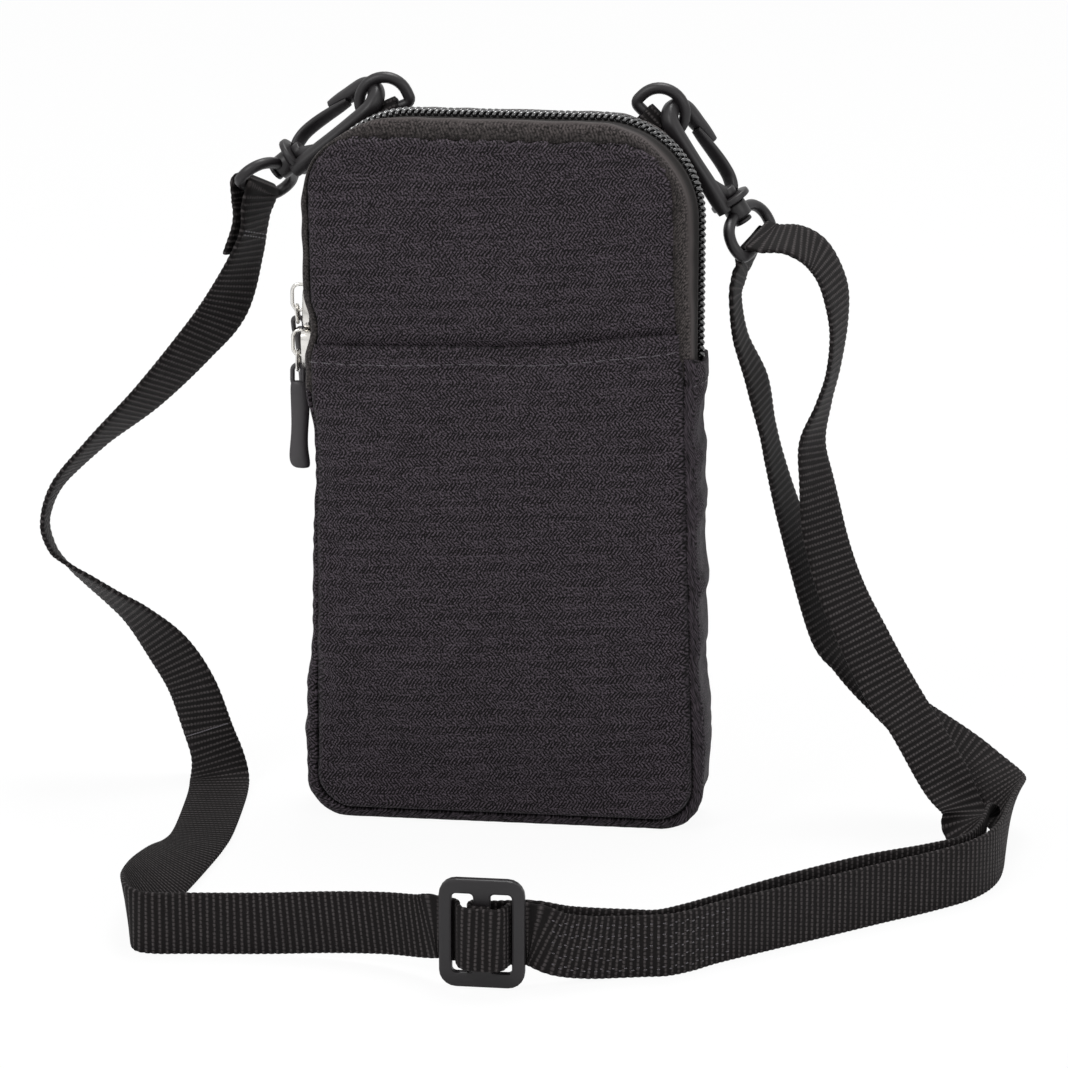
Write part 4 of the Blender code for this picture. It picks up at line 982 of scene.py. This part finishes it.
# Swivel hooks: each is moulded in one piece, a broad spine that leaves the collar with a small fin and
# curls over in a thick nose, and a thin sprung gate whose end tucks in under the nose's lip.
# The stud behind the collar is pressed into the boss of the eye that carries the strap.
def moulded(name, route, half_wide, half_deep):
    """A moulded bar along a flat route of place and size, in mm, with a softly squared section."""
    section = bpy.data.curves.new("section", "CURVE")
    outline = []
    for k in range(16):
        x, y = cos(2 * pi * k / 16), sin(2 * pi * k / 16)
        outline.append((copysign(half_wide * abs(x) ** 0.7, x), copysign(half_deep * abs(y) ** 0.7, y), 0))
    spline_through(section, outline, True)
    section_object = new_piece("section", section)
    bar = bpy.data.curves.new(name, "CURVE")
    bar.dimensions = "2D"
    bar.fill_mode = "NONE"
    bar.bevel_mode = "OBJECT"
    bar.bevel_object = section_object
    bar.use_fill_caps = True
    stations = follow([(u, v, 0, size, 0, 0) for u, v, size in route], 0.5)
    line = spline_through(bar, [at for at, size in stations])
    for point, (at, size) in zip(line.points, stations):
        point.radius = size.x
    new_piece(name, bar)
    bpy.ops.object.convert(target="MESH")
    bpy.data.objects.remove(section_object)
    made = bpy.context.object
    with editing("SELECT"):
        bpy.ops.mesh.remove_doubles(threshold=0.01)
        bpy.ops.mesh.normals_make_consistent(inside=False)
    soften(made, 0.35, 2, 60)
    return made


def turned(start, end, radius, edge):
    """A round boss along the hook's axis, in mm, with eased rims."""
    bpy.ops.object.select_all(action="DESELECT")
    bpy.ops.mesh.primitive_cylinder_add(vertices=24, radius=radius, depth=end - start,
                                        location=((start + end) / 2, 0, 0), rotation=(0, pi / 2, 0))
    made = bpy.context.object
    bpy.ops.object.transform_apply(location=True, rotation=True, scale=True)
    soften(made, edge, 2, 60)
    return made


# Routes of place and size in mm, then start, end, radius and edge of the collar, neck, stud and its head
SPINE = ([(11.5, -4.7, 0.8), (13, -4.6, 0.9), (15.5, -4.5, 1.0), (20, -4.4, 1.0), (26, -4.4, 0.95),
          (32, -4.4, 0.98)] + [(*at, 1.02) for at, way in corner(35.3, 0.4, 4.8, -90, 90, 9)]
         + [(33.2, 5.5, 1.0), (31.0, 6.2, 0.88), (28.6, 6.7, 0.76), (27.0, 6.9, 0.66)])
FIN = [(13.4, 0.4, 0.85), (14.6, -0.6, 0.95), (16.4, -2.3, 1.0), (19.0, -3.8, 0.9), (22.0, -4.3, 0.6)]
GATE = [(14.4, 2.6, 0.95), (15.6, 3.8, 1.0), (18.0, 4.9, 1.0), (21.5, 5.1, 1.0), (25.5, 4.7, 0.95),
        (29.0, 4.1, 0.85), (32.0, 3.6, 0.7)]
ROUND_PARTS = [(12.3, 13.9, 5.2, 0.45), (13.9, 16.2, 2.6, 0.5), (7.3, 13.0, 1.4, 0.2), (6.5, 7.5, 2.3, 0.3)]
HARDWARE_DEPTH, BAR_RADIUS = 0.0163, 0.00145
EYE_LOOP = [(0, 0), (3.5, 0), (7.2, 0.05), (9.2, 0.8), (10.1, 2.8), (9.9, 5.2), (8.3, 7.5), (5.2, 8.9),
            (0, 9.3)]
for side, eye, tip, bar_way, gate_way, roll in (
        ("left", (-0.0659, HARDWARE_DEPTH, 0.1568), (0.77, 0, 0.64), (0.31, 0.87, -0.38), (-0.64, 0, 0.77),
         radians(57)),
        ("right", (0.0602, HARDWARE_DEPTH, 0.1462), (-0.54, 0, 0.84), (0.30, 0.93, 0.22), (0.84, 0, 0.54),
         radians(65))):
    u = Vector(tip).normalized()
    v = square_to(Vector(gate_way) * cos(roll) + Vector((0, 1, 0)) * sin(roll), u)
    to_place = (Matrix.Translation(eye) @ Matrix((u, v, u.cross(v))).transposed().to_4x4()
                @ Matrix.Scale(0.001, 4))

    hook = joined("snap_hook_" + side, moulded("spine", SPINE, 1.85, 2.0), moulded("root", FIN, 1.9, 2.0),
                  *[turned(*sizes) for sizes in ROUND_PARTS])
    hook.data.transform(to_place)
    fit_out(hook, "snap_" + side, acetal, "black_plastic", "hook_" + side)

    leaf = moulded("snap_gate_" + side, GATE, 0.85, 1.9)
    leaf.data.transform(to_place)
    fit_out(leaf, "leaf_" + side, acetal, "black_plastic", "gate_" + side)

    along_bar = square_to(Vector(bar_way), u)
    outline = EYE_LOOP + [(-s, t) for s, t in EYE_LOOP[-2:0:-1]] + [EYE_LOOP[0]]
    stations = [at for at, size in follow([(s, t, 0, 1, 0, 0) for s, t in outline], 0.7)][:-1]
    eye_loop = wire("eye_loop", [Vector(eye) + (along_bar * at.x + u * at.y) * 0.001 for at in stations],
                    BAR_RADIUS, True)
    boss = turned(7.9, 12.0, 3.1, 0.5)
    boss.data.transform(to_place)
    swivel_eye = joined("swivel_eye_loop_" + side, eye_loop, boss)
    bpy.ops.object.shade_smooth_by_angle(angle=radians(50))
    fit_out(swivel_eye, "pouch", acetal, "black_plastic", "swivel_eye_" + side)


# D-rings: moulded in the same acetal, 3 mm thick, each with its flat bar held in a webbing tab.
# Each has its place, the direction down from its arc to its bar, and the direction across.
D_RINGS = [(name, Vector(ring), Vector((sin(tilt), 0, -cos(tilt))), Vector((cos(tilt), 0, sin(tilt))))
           for name, ring, tilt in (("left", (-0.0336, HARDWARE_DEPTH, 0.1809), radians(25)),
                                    ("right", (0.0365, HARDWARE_DEPTH, 0.1796), radians(-45)))]
for name, ring, down, across in D_RINGS:
    outline = [(6.2 * cos(radians(a)), 1.2 - 6.0 * sin(radians(a))) for a in spread(0, 180, 19)]
    for x, start in ((-4.8, 180), (4.8, 90)):
        outline += [at for at, way in corner(x, 2.6, 1.4, start, start - 90, 6)]
    d_ring = wire("d_ring_wire_" + name, [ring + (across * x + down * y) * 0.001 for x, y in outline],
                  BAR_RADIUS, True)
    bpy.ops.object.shade_smooth()
    fit_out(d_ring, "ring_" + name, acetal, "black_plastic", "d_ring_" + name)


# D-ring tabs: short loops of narrow webbing, 6 mm wide, round each D-ring's flat bar, with both
# ends sewn to the back panel.
ROUND_BAR = 0.0024
for name, ring, down, across in D_RINGS:
    bar = ring + down * 0.004
    first = 0.0132 - HARDWARE_DEPTH
    second = first + 0.0015
    loop = [(0.014, first), (0.008, first), (ROUND_BAR, first)]
    loop += [(-ROUND_BAR * sin(a), -ROUND_BAR * cos(a)) for a in spread(pi / 10, pi, 10)]
    loop += [(ROUND_BAR, 0.8 * ROUND_BAR), (2.4 * ROUND_BAR, second + 0.0012), (3.2 * ROUND_BAR, second),
             (0.014, second)]
    route = [(*(bar + down * t + Vector((0, 1, 0)) * y), *across) for t, y in loop]
    tab = ribbon("d_ring_tab_webbing_" + name, follow(route), 0.003, 0.0011)
    fit_out(tab, "pouch", webbing, "webbing", "d_ring_tab_" + name)


# Stitches: black polyester thread, 2.6 mm long on the pocket hem and shorter elsewhere. One stitch
# is modelled and copied to each place, half sunk in the cloth as the machine pulls it.
# Corespun polyester thread: dark grey, twisted, with a soft silky gloss that makes it show on cloth.
thread_yarn, tree, shader = start_material("corespun_polyester_thread", Roughness=0.45, Sheen_Weight=0.3)
twist = add(tree, "TexWave", {"Vector": add(tree, "TexCoord").outputs["Object"], "Scale": 900.0,
                              "Distortion": 2.0}, bands_direction="DIAGONAL").outputs["Fac"]
colour(tree, shader, twist, "#2c282c", "#5a545b")
emboss(tree, shader, twist, 0.4, 0.0001)

bpy.ops.object.select_all(action="DESELECT")
bpy.ops.mesh.primitive_cylinder_add(vertices=6, radius=0.5, depth=0.6, end_fill_type="NGON")
stitch = bpy.context.object
for end in (1, -1):
    with editing("DESELECT"):
        bpy.ops.mesh.select_mode(type="FACE")
    for face in stitch.data.polygons:
        face.select = face.normal.z * end > 0.9
    with editing():
        bpy.ops.mesh.extrude_region_move(TRANSFORM_OT_translate={"value": (0, 0, 0.2 * end)})
        bpy.ops.transform.resize(value=(0.5, 0.5, 1.0))


def sew(name, body, piece, lines, towards, long, wide, every):
    """Stitches along lines of points, each cast onto a piece in a direction."""
    places, towards = [], Vector(towards)
    solid = piece.evaluated_get(bpy.context.evaluated_depsgraph_get())
    for line in lines:
        run, due = 0.0, every / 2
        for a, b in zip(line, line[1:]):
            a, b = Vector(a), Vector(b)
            step = (b - a).length
            while run + step >= due:
                at = a + (b - a) * ((due - run) / step)
                hit, point, normal, index = solid.ray_cast(at - towards * 0.01, towards)
                due += every
                if not hit:
                    continue
                along = square_to((b - a).normalized(), normal)
                across = normal.cross(along)
                matrix = Matrix((across * wide, normal * wide * 0.8, along * long)).transposed().to_4x4()
                matrix.translation = point + normal * wide * 0.12
                places.append(matrix)
            run += step
    fit_out(copies(name, stitch, places), body, thread_yarn, "webbing")


hem_line = [(x, -0.014, curve_through(HEM, x) - 0.0044) for x in spread(-0.0485, 0.0465, 40)]
sew("hem_stitches", "pouch", front_pocket, [hem_line], (0, 1, 0), 0.0024, 0.00028, 0.0034)
for name, x, z, aim in (("left", -0.055, 0.1081, (1, 0, 0)), ("right", 0.055, 0.1161, (-1, 0, 0))):
    sew("gusset_hem_stitches_" + name, "pouch", gusset, [[(x, y, z) for y in spread(-0.0098, 0.0098, 8)]],
        aim, 0.0018, 0.00025, 0.0026)
for name, ring, down, across in D_RINGS:
    start = ring + down * 0.013 + Vector((0, 0.002, 0))
    square = [start - across * 0.0022, start + across * 0.0022, start + across * 0.0022 + down * 0.0042,
              start - across * 0.0022 + down * 0.0042, start - across * 0.0022]
    sew("tab_stitches_" + name, "pouch", bpy.data.objects["d_ring_tab_webbing_" + name], [square],
        (0, -1, 0), 0.0011, 0.00025, 0.0015)


# The long run is sewn down beside the adjuster in five rows of small zigzag stitches, and its other end
# behind the left hook's loop in two rows across it. A row of pale thread bits paints the highlight along the
# crease at its left turn.
long_run = bpy.data.objects["strap_webbing_long"]
stations = strap_stations["strap_webbing_long"]
beside = [(at, wide.normalized()) for at, wide in stations if 0.0235 < at.x < 0.064 and at.y < -0.09]
rows = [[at + wide * (row + lift) for at, wide in beside[first:]]
        for row in (-0.0054, -0.0027, 0.0, 0.0027, 0.0054) for lift, first in ((0.0003, 0), (-0.0003, 5))]
sew("splice_stitches", "pouch", long_run, rows, (0, 1, 0), 0.0007, 0.00028, 0.0030)
# Besides the loop's stitches, one row of pale bits is a painted highlight along the crease, not stitching.
for name, low, high, long, every in (("loop_stitches", 0.1395, 0.1460, 0.0012, 0.0018),
                                     ("painted_crease_highlight", 0.0125, 0.0128, 0.0009, 0.0006)):
    # Stations that a row crosses: the webbing's cut end, in the first 200, lies behind and is left out
    crossed = [k for k, (at, wide) in enumerate(stations) if at.x < -0.06 and low < at.z < high
               and at.y > 0.0147 and (k > 200 or at.y < 0.0150)]
    rows = []
    for k in (crossed[0], crossed[-1]) if name == "loop_stitches" else crossed[:1]:
        at, wide = stations[k][0], stations[k][1].normalized()
        out = (stations[k + 1][0] - stations[k - 1][0]).cross(wide).normalized()
        out = out if out.y < 0 else -out
        rows.append([at + wide * x for x in spread(-0.0070, 0.0070, 9)])
    sew(name, "pouch", long_run, rows, -out, long, 0.00032, every)


# Stage: a plain white table top and an even white surround, with three large soft lamps.
# The table keeps the faint shadow under the strap and the pouch.
bpy.ops.object.select_all(action="DESELECT")
bpy.ops.mesh.primitive_plane_add(size=12, location=(0, 0, 0))
floor = bpy.context.object
paper, tree, shader = start_material("matt_white_table", Roughness=0.9, Base_Color=linear("#f4f4f4"))
seen = maths(tree, "MULTIPLY", add(tree, "LightPath").outputs["Is Camera Ray"], 0.93)
lit = add(tree, "Emission", {"Color": linear("#ffffff"), "Strength": 1.0})
mix = add(tree, "MixShader", {"Fac": seen, 1: shader, 2: lit})
tree.links.new(mix.outputs["Shader"], tree.nodes["Material Output"].inputs["Surface"])
floor.data.materials.append(paper)

world = bpy.data.worlds.new("surround")
bpy.context.scene.world = world
world.use_nodes = True
tree = world.node_tree
ambient = tree.nodes["Background"]
ambient.inputs["Color"].default_value = linear("#f2f3f5")
ambient.inputs["Strength"].default_value = 0.55
white = add(tree, "Background", {"Color": linear("#ffffff"), "Strength": 1.0})
rays = add(tree, "LightPath").outputs
direct = maths(tree, "MAXIMUM", rays["Is Camera Ray"], rays["Is Glossy Ray"])
seen = maths(tree, "MAXIMUM", direct, rays["Is Transmission Ray"])
mix = add(tree, "MixShader", {"Fac": seen, 1: ambient, 2: white})
tree.links.new(mix.outputs["Shader"], tree.nodes["World Output"].inputs["Surface"])

for name, place, size, power in (("key", (-0.75, -0.95, 1.15), 0.5, 9.0),
                                 ("fill", (1.1, -0.8, 0.7), 0.8, 4.0),
                                 ("top", (0.1, 0.3, 1.35), 0.45, 11.0)):
    lamp = bpy.data.lights.new(name, "AREA")
    lamp.size = size
    lamp.energy = power
    lamp_object = bpy.data.objects.new(name, lamp)
    bpy.context.collection.objects.link(lamp_object)
    lamp_object.location = place
    lamp_object.rotation_euler = (Vector(place) - Vector((0, 0, 0.08))).to_track_quat("Z", "Y").to_euler()
bpy.data.objects.remove(stitch)

bpy.context.scene.view_settings.view_transform = "Standard"
